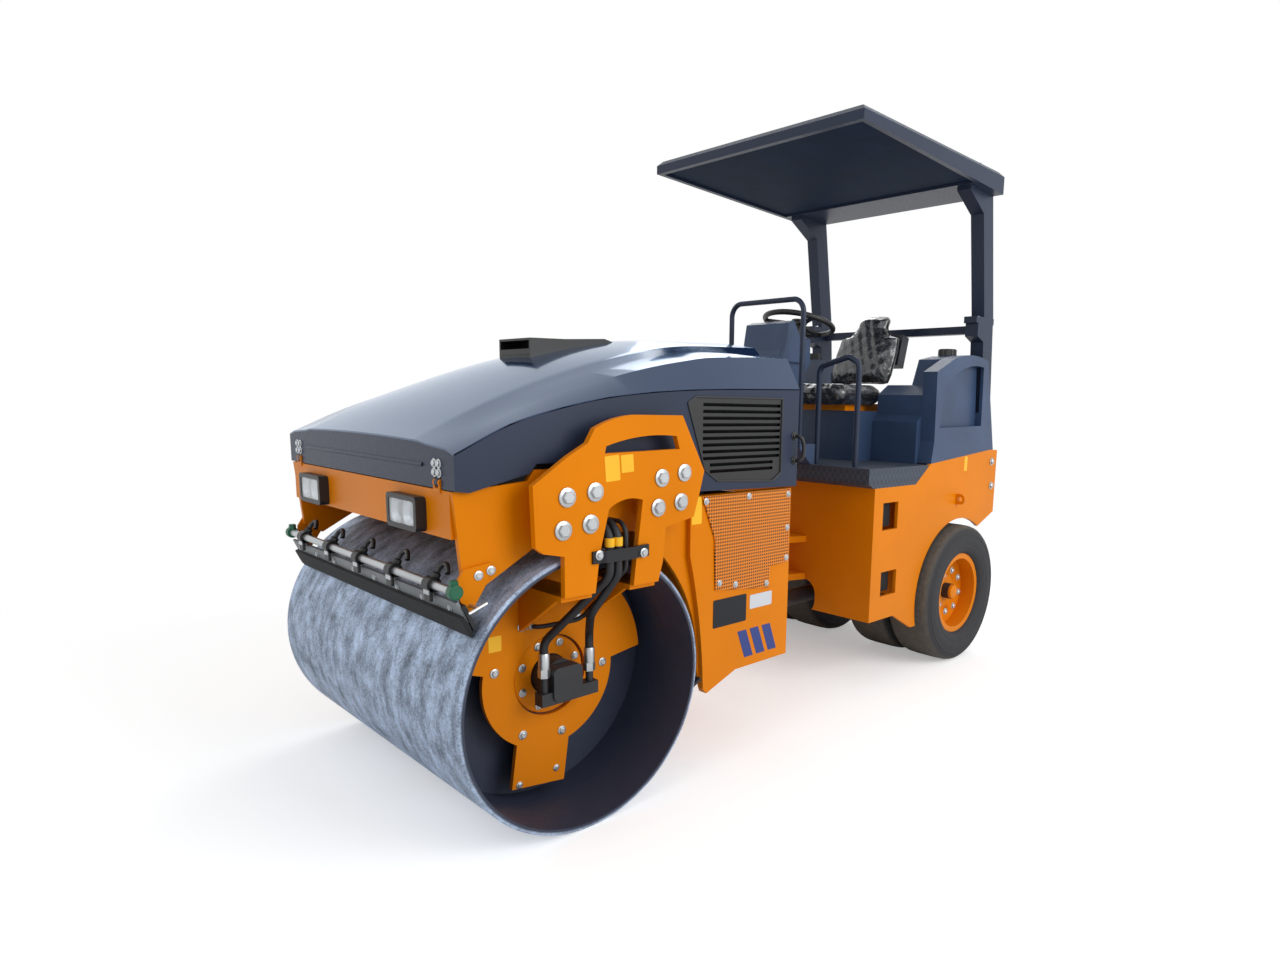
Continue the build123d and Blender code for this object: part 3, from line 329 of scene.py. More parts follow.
def enamel(name, colour, gloss=0.3, dust=0.12, coat=0.2, peel_depth=0.04, shine=0.25,
           tint=(1, 1, 1, 1)):
    """Sprayed machine enamel.

    Glossy, with a faint orange peel, slow changes of tone, and dust that dulls the low parts.
    """
    made, tree, shader, place = start(name, Coat_Weight=coat, Coat_Roughness=0.08,
                                      Coat_Tint=tint, Specular_Tint=tint,
                                      Specular_IOR_Level=shine)
    slow = add(tree, "ShaderNodeTexNoise", {"Vector": place, "Scale": 3.0, "Detail": 4.0})
    tone = add(tree, "ShaderNodeValToRGB", {"Fac": slow},
               stops=((0.3, rgba(colour, 0.94)), (0.7, rgba(colour, 1.05))))
    high = add(tree, "ShaderNodeSeparateXYZ", {"Vector": place}).outputs["Z"]
    low_part = add(tree, "ShaderNodeMapRange", {0: high, 1: 0.1, 2: 0.9, 3: dust, 4: 0.0})
    grit = add(tree, "ShaderNodeTexNoise", {"Vector": place, "Scale": 90.0, "Detail": 6.0})
    dusty = add(tree, "ShaderNodeMath", {0: grit, 1: low_part}, operation="MULTIPLY")
    add(tree, "ShaderNodeMix", {"Factor": dusty, 6: tone, 7: rgba(linear("8A8378"))},
        to=shader.inputs["Base Color"], out=2, data_type="RGBA")
    add(tree, "ShaderNodeMapRange", {0: grit, 1: 0.3, 2: 0.7, 3: gloss, 4: gloss + 0.1},
        to=shader.inputs["Roughness"])
    # Orange peel about 3 mm apart
    peel = add(tree, "ShaderNodeTexNoise", {"Vector": place, "Scale": 330.0, "Detail": 2.0})
    add(tree, "ShaderNodeBump", {"Height": peel, "Strength": peel_depth, "Distance": 0.4 * MM},
        to=shader.inputs["Normal"])
    return made


def rolled_steel(name, steel, inside):
    """Rolled drum steel, worn pale and blotched round the rim; the bore keeps its dark paint."""
    made, tree, shader, place = start(name)
    away = from_axis(tree, place, DRUM_X * MM, DRUM_R * MM)
    outer = add(tree, "ShaderNodeMapRange", {0: away, 1: (DRUM_R - 12) * MM,
                                             2: (DRUM_R - 6) * MM, 3: 0.0, 4: 1.0})
    # Blotches about 60 mm across, smeared round the drum by the scraper
    spread = add(tree, "ShaderNodeMapping", {"Vector": place, "Scale": (0.6, 1.0, 0.6)})
    blotch = add(tree, "ShaderNodeTexNoise", {"Vector": spread, "Scale": 17.0, "Detail": 9.0,
                                              "Roughness": 0.68})
    fine = add(tree, "ShaderNodeTexNoise", {"Vector": place, "Scale": 160.0, "Detail": 5.0})
    both = add(tree, "ShaderNodeMix", {"Factor": 0.3, 2: blotch, 3: fine})
    worn = add(tree, "ShaderNodeValToRGB", {"Fac": both},
               stops=((0.36, rgba(steel, 0.3)), (0.45, rgba(steel, 0.62)), (0.53, rgba(steel)),
                      (0.64, rgba(steel, 1.5))))
    add(tree, "ShaderNodeMix", {"Factor": outer, 6: rgba(inside), 7: worn},
        to=shader.inputs["Base Color"], out=2, data_type="RGBA")
    add(tree, "ShaderNodeMath", {0: outer, 1: 0.35}, to=shader.inputs["Metallic"],
        operation="MULTIPLY")
    add(tree, "ShaderNodeMapRange", {0: both, 1: 0.35, 2: 0.65, 3: 0.66, 4: 0.42},
        to=shader.inputs["Roughness"])
    add(tree, "ShaderNodeBump", {"Height": both, "Strength": 0.3, "Distance": 1.0 * MM},
        to=shader.inputs["Normal"])
    return made


def grained(name, code, rough, grain, depth, spread=0.15, metallic=0.0, shine=0.5):
    """A plain material with a grain of the given size in mm and a soft change of tone."""
    made, tree, shader, place = start(name, Metallic=metallic, Specular_IOR_Level=shine)
    colour = linear(code)
    slow = add(tree, "ShaderNodeTexNoise", {"Vector": place, "Scale": 6.0, "Detail": 5.0})
    add(tree, "ShaderNodeValToRGB", {"Fac": slow}, to=shader.inputs["Base Color"],
        stops=((0.3, rgba(colour, 1 - spread)), (0.7, rgba(colour, 1 + spread))))
    fine = add(tree, "ShaderNodeTexNoise", {"Vector": place, "Scale": 1000.0 / grain,
                                            "Detail": 3.0})
    add(tree, "ShaderNodeMapRange", {0: fine, 1: 0.3, 2: 0.7, 3: max(0.02, rough - 0.06),
                                     4: rough + 0.06}, to=shader.inputs["Roughness"])
    add(tree, "ShaderNodeBump", {"Height": fine, "Strength": depth, "Distance": 0.6 * MM},
        to=shader.inputs["Normal"])
    return made


def worn_tyre(name, tread, wall):
    """Smooth tyre rubber: a dusty grey-brown tread, a darker sidewall and fine scuffs."""
    made, tree, shader, place = start(name, Specular_IOR_Level=0.3)
    away = from_axis(tree, place, REAR_X * MM, TYRE_R * MM)
    grit = add(tree, "ShaderNodeTexNoise", {"Vector": place, "Scale": 45.0, "Detail": 8.0,
                                            "Roughness": 0.7})
    edge = add(tree, "ShaderNodeMapRange", {0: away, 1: (TYRE_R - 22) * MM,
                                            2: (TYRE_R - 4) * MM, 3: 0.0, 4: 0.75})
    dusty = add(tree, "ShaderNodeMath", {0: edge, 1: grit, 2: 0.05}, operation="MULTIPLY_ADD")
    rubber = add(tree, "ShaderNodeValToRGB", {"Fac": grit},
                 stops=((0.3, rgba(wall, 0.8)), (0.7, rgba(wall, 1.25))))
    add(tree, "ShaderNodeMix", {"Factor": dusty, 6: rubber, 7: rgba(tread)},
        to=shader.inputs["Base Color"], out=2, data_type="RGBA")
    add(tree, "ShaderNodeMapRange", {0: grit, 1: 0.3, 2: 0.7, 3: 0.6, 4: 0.85},
        to=shader.inputs["Roughness"])
    add(tree, "ShaderNodeBump", {"Height": grit, "Strength": 0.25, "Distance": 0.8 * MM},
        to=shader.inputs["Normal"])
    return made


def punched(name, colour, pitch_mm):
    """Painted sheet punched with round holes in rows; the dark in each hole is painted shade of the
    space behind the sheet.
    """
    made, tree, shader, place = start(name)
    shifted = add(tree, "ShaderNodeMapping", {"Vector": place, "Scale": (1 / (pitch_mm * MM),) * 3})
    cell = add(tree, "ShaderNodeVectorMath", {0: shifted}, operation="FRACTION")
    away = from_axis(tree, cell, 0.5, 0.5)
    sheet = add(tree, "ShaderNodeMapRange", {0: away, 1: 0.26, 2: 0.33, 3: 0.0, 4: 1.0})
    # Painted shade: each hole takes a near-black colour for the shadowed space behind the sheet
    add(tree, "ShaderNodeMix", {"Factor": sheet, 6: rgba(linear("191410")), 7: rgba(colour)},
        to=shader.inputs["Base Color"], out=2, data_type="RGBA")
    add(tree, "ShaderNodeMapRange", {0: sheet, 1: 0.0, 2: 1.0, 3: 0.9, 4: 0.35},
        to=shader.inputs["Roughness"])
    add(tree, "ShaderNodeBump", {"Height": sheet, "Strength": 0.8, "Distance": 1.5 * MM},
        to=shader.inputs["Normal"])
    return made


def treaded(name, colour, pitch_mm):
    """Floor plate with raised diamonds, worn brighter on their tops."""
    made, tree, shader, place = start(name, Metallic=0.2, Roughness=0.55)
    turned = add(tree, "ShaderNodeMapping", {"Vector": place, "Rotation": (0, 0, pi / 4),
                                             "Scale": (1 / (pitch_mm * MM),) * 3})
    raised = add(tree, "ShaderNodeTexChecker", {"Vector": turned, "Scale": 1.0,
                                              "Color1": (1, 1, 1, 1), "Color2": (0, 0, 0, 1)})
    raised = raised.outputs["Fac"]
    add(tree, "ShaderNodeMix", {"Factor": raised, 6: rgba(colour), 7: rgba(colour, 1.5)},
        to=shader.inputs["Base Color"], out=2, data_type="RGBA")
    add(tree, "ShaderNodeBump", {"Height": raised, "Strength": 0.6, "Distance": 1.0 * MM},
        to=shader.inputs["Normal"])
    return made


def glassy(name, colour):
    """Clear moulded lamp lens: low roughness, with wide vertical flutes."""
    made, tree, shader, place = start(name, Roughness=0.05, IOR=1.49, Transmission_Weight=0.75,
                                      Base_Color=rgba(linear(colour)))
    # The wave repeats every pi / 10 over its scale, here 57 mm: coarse enough to show
    flutes = add(tree, "ShaderNodeTexWave", {"Vector": place, "Scale": 50 / 9,
                                             "Distortion": 0.0}, bands_direction="Y")
    add(tree, "ShaderNodeBump", {"Height": flutes, "Strength": 0.3, "Distance": 0.8 * MM},
        to=shader.inputs["Normal"])
    return made


def crinkled(name, colour):
    """Clear packing film over vinyl: dark vinyl seen through it, with sharp crinkles whose bright
    lines are painted highlights.
    """
    made, tree, shader, place = start(name, Coat_Weight=1.0, Coat_Roughness=0.06,
                                      Roughness=0.4)
    fold = add(tree, "ShaderNodeTexNoise", {"Vector": place, "Scale": 16.0, "Detail": 6.0,
                                            "Roughness": 0.62, "Distortion": 1.2})
    crest = add(tree, "ShaderNodeMath", {0: fold, 1: 0.5}, operation="SUBTRACT")
    sharp = add(tree, "ShaderNodeMath", {0: crest}, operation="ABSOLUTE")
    # Painted highlight: pale grey along each crinkle's crest stands in for the clear film's glint
    add(tree, "ShaderNodeValToRGB", {"Fac": sharp}, to=shader.inputs["Base Color"],
        stops=((0.0, rgba(linear("8A9098"))), (0.008, rgba(linear("3C4046"))),
               (0.03, rgba(colour)), (0.2, rgba(colour, 0.7))))
    add(tree, "ShaderNodeBump", {"Height": sharp, "Strength": 0.5, "Distance": 5.0 * MM},
        to=shader.inputs["Normal"])
    return made


class RollerLook(bpy.types.PropertyGroup):
    """Colours, sizes and light that a user would change."""

    paint: FloatVectorProperty(name="Machine paint", subtype="COLOR", size=3, min=0, max=1,
                               description="The frame and wheel enamel", default=linear("DB7C00"))
    dark_paint: FloatVectorProperty(name="Hood paint", subtype="COLOR", size=3, min=0, max=1,
                                    description="Hood, canopy and post enamel",
                                    default=linear("263045"))
    steel: FloatVectorProperty(name="Drum steel", subtype="COLOR", size=3, min=0, max=1,
                               description="The rolled face of the drum",
                               default=linear("A4B5CE"))
    bolt: FloatProperty(name="Bolt size", description="Radius of the large frame bolts' heads",
                        default=0.019, min=0.01, max=0.03, unit="LENGTH")
    pitch: FloatProperty(name="Mesh pitch", description="Spacing of the holes in the mesh covers",
                         default=0.0115, min=0.006, max=0.03, unit="LENGTH")
    light: FloatProperty(name="Light", description="Strength of the lamps against their default",
                         default=1.0, min=0.0, max=4.0)


@cache
def finish_of(key):
    """The finish of a record slot or of a small fitting, made once."""
    look = bpy.context.scene.roller_look
    make, *values = {
        # Sprayed enamel: glossy with a faint orange peel
        "orange_paint": (enamel, "machine_enamel_orange", look.paint, 0.36, 0.06, 0.02, 0.04,
                         0.25, (1.0, 0.7, 0.25, 1.0)),
        "dark_paint": (enamel, "machine_enamel_dark", look.dark_paint, 0.34, 0.02, 0.05),
        # The hood is polished: it mirrors the studio softly at a flat angle
        # The blue tint is a painted reflection: it makes the studio's white reflection and the
        # paint under the coat bluer, as a blue sky's reflection would
        "hood_gloss": (enamel, "polished_hood_enamel", look.dark_paint, 0.14, 0.0, 0.9, 0.01,
                       0.5, (0.5, 0.72, 1.0, 1.0)),
        "cylinder_black": (enamel, "black_enamel", linear("1C1D20"), 0.3, 0.05),
        # Rolled mild steel: worn bright where it meets the ground
        "drum_steel": (rolled_steel, "rolled_drum_steel", look.steel, linear("2C3346")),
        # Filled rubber: matt, lighter where dust sits in it
        "tyre_rubber": (worn_tyre, "tyre_rubber", linear("7A7468"), linear("2A2C31")),
        "black_rubber": (grained, "hose_rubber", "15161A", 0.55, 1.2, 0.2),
        "rubber_mat": (grained, "black_rubber_mat", "0E0F11", 0.8, 3.0, 0.4),
        # Sand cast iron under black paint: an orange-skin grain
        "dark_casting": (grained, "painted_casting", "25272B", 0.55, 3.0, 0.4),
        # Ground and plated rod: almost a mirror
        "rod_chrome": (grained, "hard_chrome", "D0D4D8", 0.12, 0.8, 0.02, 0.15, 1.0),
        # Zinc plate: bright, slightly yellow-grey, with a satin spread
        "zinc_steel": (grained, "zinc_plated_steel", "B9BDC0", 0.34, 1.5, 0.1, 0.1, 0.9),
        # Rotationally moulded polyethylene: soft sheen with a pebbled skin
        "moulded_cover": (grained, "moulded_polyethylene", "324563", 0.4, 1.2, 0.15, 0.15, 0.0,
                          0.4),
        "black_plastic": (grained, "moulded_black_plastic", "141517", 0.42, 1.0, 0.2),
        "green_plastic": (grained, "green_nylon", "0B5A3E", 0.4, 1.0, 0.1),
        "seat_shell": (grained, "seat_shell_plastic", "22262E", 0.5, 1.2, 0.2),
        "seat_vinyl": (crinkled, "vinyl_under_clear_film", linear("191B20")),
        "lamp_lens": (glassy, "fluted_lamp_lens", "F2F6FA"),
        # Metal film laid on in a vacuum: a mirror
        "mirror_bowl": (grained, "vacuum_coated_bowl", "E6EAEE", 0.12, 6.0, 0.1, 0.15, 1.0),
        "mesh_sheet": (punched, "punched_sheet", look.paint, look.pitch / MM),
        "floor_plate": (treaded, "treaded_floor_plate", linear("343B47"), 22.0),
        # Vinyl film: smooth, with hardly any change of tone
        "yellow_film": (grained, "yellow_vinyl_film", "F2B705", 0.38, 1.0, 0.05, 0.04),
        "pale_film": (grained, "pale_vinyl_film", "C9CDD3", 0.35, 1.0, 0.05, 0.05),
        "blue_film": (grained, "dark_blue_vinyl_film", "24397F", 0.35, 1.0, 0.05, 0.05),
        "bare_plate": (grained, "anodised_plate", "1F2228", 0.35, 1.0, 0.05, 0.06, 0.5),
        "worn_bar": (grained, "worn_flat_bar", "7C8184", 0.5, 2.0, 0.2, 0.2, 0.5),
        # Painted shade under the canopy: flat, and darker than the canopy's enamel
        "liner_paint": (grained, "flat_liner_paint", "0C2038", 0.7, 2.0, 0.1, 0.2, 0.0, 0.1),
    }[key]
    return make(*values)


class RollerStage(bpy.types.Operator):
    """Floor, lamps, world and the camera at the photograph's place"""

    bl_idname = "scene.roller_stage"
    bl_label = "Stage"

    def execute(self, context):
        scene = context.scene
        look = scene.roller_look
        scene.view_settings.view_transform = "Standard"
        # Camera: place, yaw, pitch and roll fitted to the drum, tyres and hood
        yaw, pitch, roll = -2.3876, 0.1536, 0.0241
        place_m = (2.48544, 2.49761, 1.28403)
        # The photograph's size, focal length and optical centre, in its pixels
        photo_w, photo_h, focal = 1280, 960, 790.84
        centre_x, centre_y = 740.79, 526.19
        ahead = Vector((cos(yaw) * cos(pitch), sin(yaw) * cos(pitch), -sin(pitch)))
        level_right = ahead.cross(Vector((0, 0, 1))).normalized()
        level_up = level_right.cross(ahead)
        right = cos(roll) * level_right + sin(roll) * level_up
        up = -sin(roll) * level_right + cos(roll) * level_up
        lens = bpy.data.cameras.new("photo_camera")
        lens.sensor_width = 36.0
        lens.lens = focal / photo_w * lens.sensor_width
        lens.shift_x = (photo_w / 2 - centre_x) / photo_w
        lens.shift_y = (centre_y - photo_h / 2) / photo_w
        camera = bpy.data.objects.new("photo_camera", lens)
        scene.collection.objects.link(camera)
        turn = Matrix((right, up, -ahead)).transposed().to_4x4()
        camera.matrix_world = Matrix.Translation(place_m) @ turn
        scene.camera = camera

        # Floor: white by its colour, fading out far away into the white world
        span = 12.0
        floor_mesh = bpy.data.meshes.new("floor")
        floor_mesh.from_pydata([(-span, -span, 0), (span, -span, 0), (span, span, 0),
                                (-span, span, 0)], [], [(0, 1, 2, 3)])
        floor = bpy.data.objects.new("floor", floor_mesh)
        scene.collection.objects.link(floor)
        made, tree, shader, place = start("pale_floor", Roughness=0.9,
                                          Base_Color=rgba(linear("F6F6F6")))
        rays = add(tree, "ShaderNodeLightPath")
        tree.links.new(rays.outputs["Is Camera Ray"], shader.inputs["Emission Strength"])
        shader.inputs["Emission Color"].default_value = (0.35, 0.35, 0.35, 1.0)
        away = add(tree, "ShaderNodeVectorMath", {0: place}, operation="LENGTH").outputs["Value"]
        solid = add(tree, "ShaderNodeMapRange", {0: away, 1: 2.2, 2: 5.0, 3: 1.0, 4: 0.0},
                    interpolation_type="SMOOTHSTEP")
        tree.links.new(solid.outputs[0], shader.inputs["Alpha"])
        floor_mesh.materials.append(made)

        world = bpy.data.worlds.new("studio")
        scene.world = world
        world.use_nodes = True
        tree = world.node_tree
        tree.nodes.clear()
        path = add(tree, "ShaderNodeLightPath")
        shiny = add(tree, "ShaderNodeMath", {0: path.outputs["Is Camera Ray"],
                                             1: path.outputs["Is Glossy Ray"]},
                    operation="MAXIMUM")
        seen = add(tree, "ShaderNodeMath", {0: shiny, 1: path.outputs["Is Transmission Ray"]},
                   operation="MAXIMUM")
        strength = add(tree, "ShaderNodeMapRange", {0: seen, 1: 0.0, 2: 1.0, 3: 0.56, 4: 1.0})
        back = add(tree, "ShaderNodeBackground", {"Color": (1, 1, 1, 1), "Strength": strength})
        add(tree, "ShaderNodeOutputWorld", {"Surface": back})

        for name, where, size, power in (("lamp_left", (-1.2, 6.0, 3.5), 4.0, 228),
                                         ("lamp_front", (5.5, 1.0, 4.5), 3.5, 45),
                                         ("lamp_back", (-5.0, -4.0, 5.0), 4.0, 100)):
            lamp = bpy.data.lights.new(name, "AREA")
            lamp.size, lamp.energy = size, power * look.light
            holder = bpy.data.objects.new(name, lamp)
            scene.collection.objects.link(holder)
            holder.location = where
            aim = Vector((0, 0, 0.9)) - holder.location
            holder.rotation_euler = aim.to_track_quat("-Z", "Y").to_euler()
        return {"FINISHED"}


class RollerFinishes(bpy.types.Operator):
    """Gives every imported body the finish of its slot"""

    bl_idname = "scene.roller_finishes"
    bl_label = "Finishes"

    def execute(self, context):
        own = {"mesh_covers": "mesh_sheet", "platform": "floor_plate", "wiper_bars": "worn_bar",
               "hood_grilles": "black_plastic", "console": "moulded_cover"}
        for part in frame["record"]["subparts"]:
            name = part["node"]
            mesh = frame["nodes"][name].data
            mesh.materials.clear()
            mesh.materials.append(finish_of(own.get(name, part["material_slot"])))
        return {"FINISHED"}


class RollerTyres(bpy.types.Operator):
    """Smooth tyres with a crowned tread, shoulder, sidewall ribs and bead"""

    bl_idname = "scene.roller_tyres"
    bl_label = "Tyres"

    def execute(self, context):
        # Half a tyre's section from the tread's middle to the bead: (across, depth)
        half = np.array(((0, 0), (50, 0), (85, 2), (99, 6), (108, 14), (113, 26), (116, 38),
                         (118.5, 40), (118.5, 45), (117, 47), (119, 62), (119.5, 78), (118, 96),
                         (116, 100), (116, 104), (117, 107), (112, 124), (104, 137), (93, 144),
                         (90, 145.5), (82, 146), (82, 159)), float) * (1, -1) + (0, TYRE_R)
        section = np.vstack((half[::-1] * (-1, 1), half[1:]))
        section = np.vstack((section, section[:1]))
        for word, side in SIDES:
            rings = [lathe(section, (REAR_X, side * y, TYRE_R), (0, 1, 0), 112)
                     for y in TYRE_ROWS]
            tyres = piece(f"smooth_tyres_{word}", rings, f"wheels_{word}", "tyre_rubber",
                          28)
            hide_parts(f"tyres_{word}")
        return {"FINISHED"}


class RollerWheelTrim(bpy.types.Operator):
    """Wheel nuts, hub caps and valves"""

    bl_idname = "scene.roller_wheel_trim"
    bl_label = "Wheel trim"

    def execute(self, context):
        turns = np.linspace(0, 2 * pi, 8, endpoint=False) + 0.2
        for word, side in SIDES:
            body = f"wheels_{word}"
            nuts = side_bolts(circle(108, turns, 541, TYRE_R), side, 12, base=rear)
            cap = lathe(((-6, 0), (-6, 38), (4, 38), (14, 34), (18, 22), (19, 0)),
                        spot((0, 559, TYRE_R), side, rear), (0, side, 0), 28)
            stem = rear((150, 524, TYRE_R + 40), (156, 534, TYRE_R + 44), (160, 548, TYRE_R + 50))
            piece(f"wheel_nuts_{word}", [nuts], body, "zinc_steel")
            piece(f"hub_cap_{word}", [cap], body, "orange_paint")
            piece(f"tyre_valve_{word}", [carried(mirrored(stem, side), (4, 4, 3), 8)], body,
                  "black_plastic")
        return {"FINISHED"}


class RollerYokeFittings(bpy.types.Operator):
    """Yoke bolts, hub plate bolts, hose fittings, drive flange and blank stickers"""

    bl_idname = "scene.roller_yoke_fittings"
    bl_label = "Yoke fittings"

    def execute(self, context):
        for word, side in SIDES:
            self.frame_bolts(context, word, side)
            self.motor_fittings(word, side)
            self.stickers(word, side)
            cheek = side_bolts(((327, 598, 819), (291, 598, 828)), side, 9)
            piece(f"cheek_bolts_{word}", [cheek], "front_frame", "zinc_steel")
        return {"FINISHED"}

    def frame_bolts(self, context, word, side):
        """Large bolts on the yoke, and smaller ones on the hose clamp, hub plate and tab."""
        size = context.scene.roller_look.bolt / MM
        large = ((102, 1019), (8, 1028), (116, 928), (25, 938), (-240, 1055), (-332, 1067),
                 (-226, 965), (-319, 976))
        clamp = ((-1, 846), (-165, 834))
        tab = ((118, DRUM_R - 332), (-16, DRUM_R - 318))
        hub = circle(200, np.radians(np.array((60, 14, -59, -101, 181, 121))), HUB_FACE, DRUM_R)
        heads = [side_bolts([(x, YOKE_FACE, z) for x, z in large], side, size),
                 side_bolts([(x, YOKE_FACE + CLAMP_T, z) for x, z in clamp], side, 10),
                 side_bolts(hub, side, 10),
                 side_bolts([(x, HUB_FACE, z) for x, z in tab], side, 8)]
        piece(f"yoke_bolts_{word}", heads, "front_frame", "zinc_steel")

    def motor_fittings(self, word, side):
        """The drive flange with its bolts, and the ends of the hoses."""
        out = (0, side, 0)
        flange = lathe(((0, 66), (8, 66), (8, 122), (4, 126), (0, 126), (0, 66)),
                       spot((0, HUB_FACE - 17, DRUM_R), side), out, 48)
        piece(f"drive_flange_{word}", [flange], "front_frame", "orange_paint")
        ring = circle(104, np.radians(np.arange(8) * 45 + 22.5), HUB_FACE - 8, DRUM_R)
        piece(f"drive_bolts_{word}", [side_bolts(ring, side, 9)], "front_frame", "zinc_steel")
        # Collars where each hose meets its port: a hexagon, a sleeve and a crimped end
        collars = []
        for x, z in ((70, 465), (-96, 450)):
            foot = spot((x, 500, z), side)
            collars.append(lathe(((-14, 0), (-14, 19), (10, 19), (14, 17), (14, 0)), foot,
                                 (0, 0, 1), 6))
            collars.append(lathe(((12, 0), (12, 17), (58, 17), (62, 15), (62, 13.5), (62, 0)),
                                 foot, (0, 0, 1), 24))
        line = spot((84, HUB_FACE, 604), side)
        collars.append(lathe(((0, 0), (0, 15), (14, 15), (16, 13), (16, 0)), line, out, 6))
        collars.append(lathe(((14, 0), (14, 10), (34, 10), (36, 8), (36, 0)), line, out, 20))
        piece(f"hose_fittings_{word}", collars, "front_frame", "zinc_steel")
        # Cuffs of shrunk sleeve round the hoses, just above the clamp bar
        cuffs = [lathe(((0, 0), (0, 14.5), (26, 14.5), (26, 0)),
                       spot((x, YOKE_FACE - 5, 864), side), (0, 0, 1), 20) for x in (-47, -77)]
        piece(f"hose_cuffs_{word}", cuffs, "front_frame", "yellow_film")

    def stickers(self, word, side):
        """Blank stickers on the yoke and the hub plate."""
        for index, (x, z, width, height) in enumerate(((-54, 1092, 52, 74),
                                                       (-108, 1104, 46, 52))):
            film(f"yoke_sticker_{word}_{index}", spot((x, YOKE_FACE, z)), width, height, side,
                 "front_frame", "yellow_film", lean=radians(-4))
        film(f"hub_sticker_{word}", spot((190, HUB_FACE, 563)), 42, 48, side, "front_frame",
             "yellow_film", 3)


class RollerFrontFittings(bpy.types.Operator):
    """Lamp bowls and bezels, spray nozzles and pipe caps, scraper lip, screws and pins"""

    bl_idname = "scene.roller_front_fittings"
    bl_label = "Front fittings"

    def execute(self, context):
        self.lamps()
        self.spray()
        self.scraper()
        return {"FINISHED"}

    def lamps(self):
        """Two bowls and one bezel for each headlamp."""
        # Bowl: radius grows with the root of its depth, as a parabola's does
        depth = np.linspace(0, 1, 9)
        shape = np.stack((392 + 19 * depth, 8 + 28 * np.sqrt(depth)), -1)
        wall = np.vstack((shape, shape[::-1] - (1.2, 0), shape[:1]))
        outer, inner = rounded(172, 84, 12), rounded(156, 68, 8)
        bowls, bezels = [], []
        for y in (350, -350):
            bowls += [lathe(wall, (DRUM_X, y + shift, LAMP_Z), (1, 0, 0), 32)
                      for shift in (-38, 38)]
            ring = np.concatenate([np.c_[np.full(len(line), x), line[:, 0] + y,
                                         line[:, 1] + LAMP_Z]
                                   for line, x in ((outer, 414), (outer, 419), (inner, 419),
                                                   (inner, 414), (outer, 414))])
            bezels.append((front(*ring), quads(5, len(outer), True)))
        piece("lamp_bowls", bowls, "front_frame", "mirror_bowl")
        piece("lamp_bezels", bezels, "front_frame", "black_plastic")

    def spray(self):
        """Nozzles on the spray pipe, and the caps at its ends."""
        nozzles, caps = [], []
        for y in (0, 240, -240, 480, -480):
            # A clamp round the pipe, an arm down to the bar, a stub and a bent tail
            foot = spot((PIPE_X, y, PIPE_Z))
            nozzles.append(lathe(((-17, 0), (-17, 21), (17, 21), (17, 0)), foot, (0, 1, 0), 24))
            nozzles.append(slab(rounded(34, 52, 5), foot + (5, 0, -20), (0, 1, 0), (0, 0, 1), 9,
                                2))
            nozzles.append(lathe(((12, 0), (12, 13), (30, 13), (34, 9), (34, 0)), foot,
                                 (-0.5, 0, 0.86), 8))
            tail = smooth_path([foot + step for step in ((-14, 0, 26), (-26, 4, 46), (-32, 22, 54),
                                                         (-26, 42, 48), (-20, 52, 34))], 5)
            nozzles.append(carried(tail, 7, 10, (1, 0, 0.3)))
        piece("spray_nozzles", nozzles, "front_frame", "black_plastic")
        for _, side in SIDES:
            foot = spot((PIPE_X, 596, PIPE_Z), side)
            caps.append(lathe(((0, 0), (0, 19), (5, 20), (22, 20), (25, 16), (25, 0)), foot,
                              (0, side, 0), 12))
            caps.append(lathe(((0, 0), (0, 12), (22, 12), (24, 10), (24, 0)),
                              foot + (0, side * 8, 6), (0, 0, 1), 6))
        piece("spray_pipe_caps", caps, "front_frame", "green_plastic")

    def scraper(self):
        """Screws in the scraper's bar, the rubber lip under it and a pin at each end."""
        high, low = np.array((392.0, 0, 762)), np.array((360.0, 0, 689))
        along = (low - high) / np.linalg.norm(low - high)
        out = np.array((0.916, 0, -0.402))
        row = high + along * 26 + out * 8
        screws = bolts(front(*[(row[0], y, row[2]) for y in np.linspace(-560, 560, 8)]), out, 7)
        piece("scraper_screws", [screws], "front_frame", "zinc_steel")
        # The lip's section bends forward where it meets the drum
        lip = np.array(((383, 722), (392, 717), (371, 671), (361, 660), (356, 664), (360, 676),
                        (364, 692), (383, 722)), float)
        run = np.concatenate([np.c_[lip[:, 0], np.full(len(lip), y), lip[:, 1]]
                              for y in (-619, 0, 619)])
        ends = [list(range(7)), list(range(22, 15, -1))]
        piece("scraper_lip", [(front(*run), quads(3, 8, False) + ends)], "front_frame",
              "rubber_mat")
        pins = []
        for _, side in SIDES:
            root = spot((352, 606, 742), side)
            tip = root + (0, side * 32, 0)
            pins.append(carried([root - (0, side * 10, 0), tip], 5, 10))
            pins.append(carried([tip + (-26, 0, 10), tip + (26, 0, -10)], 4.5, 10))
        piece("scraper_pins", pins, "front_frame", "zinc_steel")


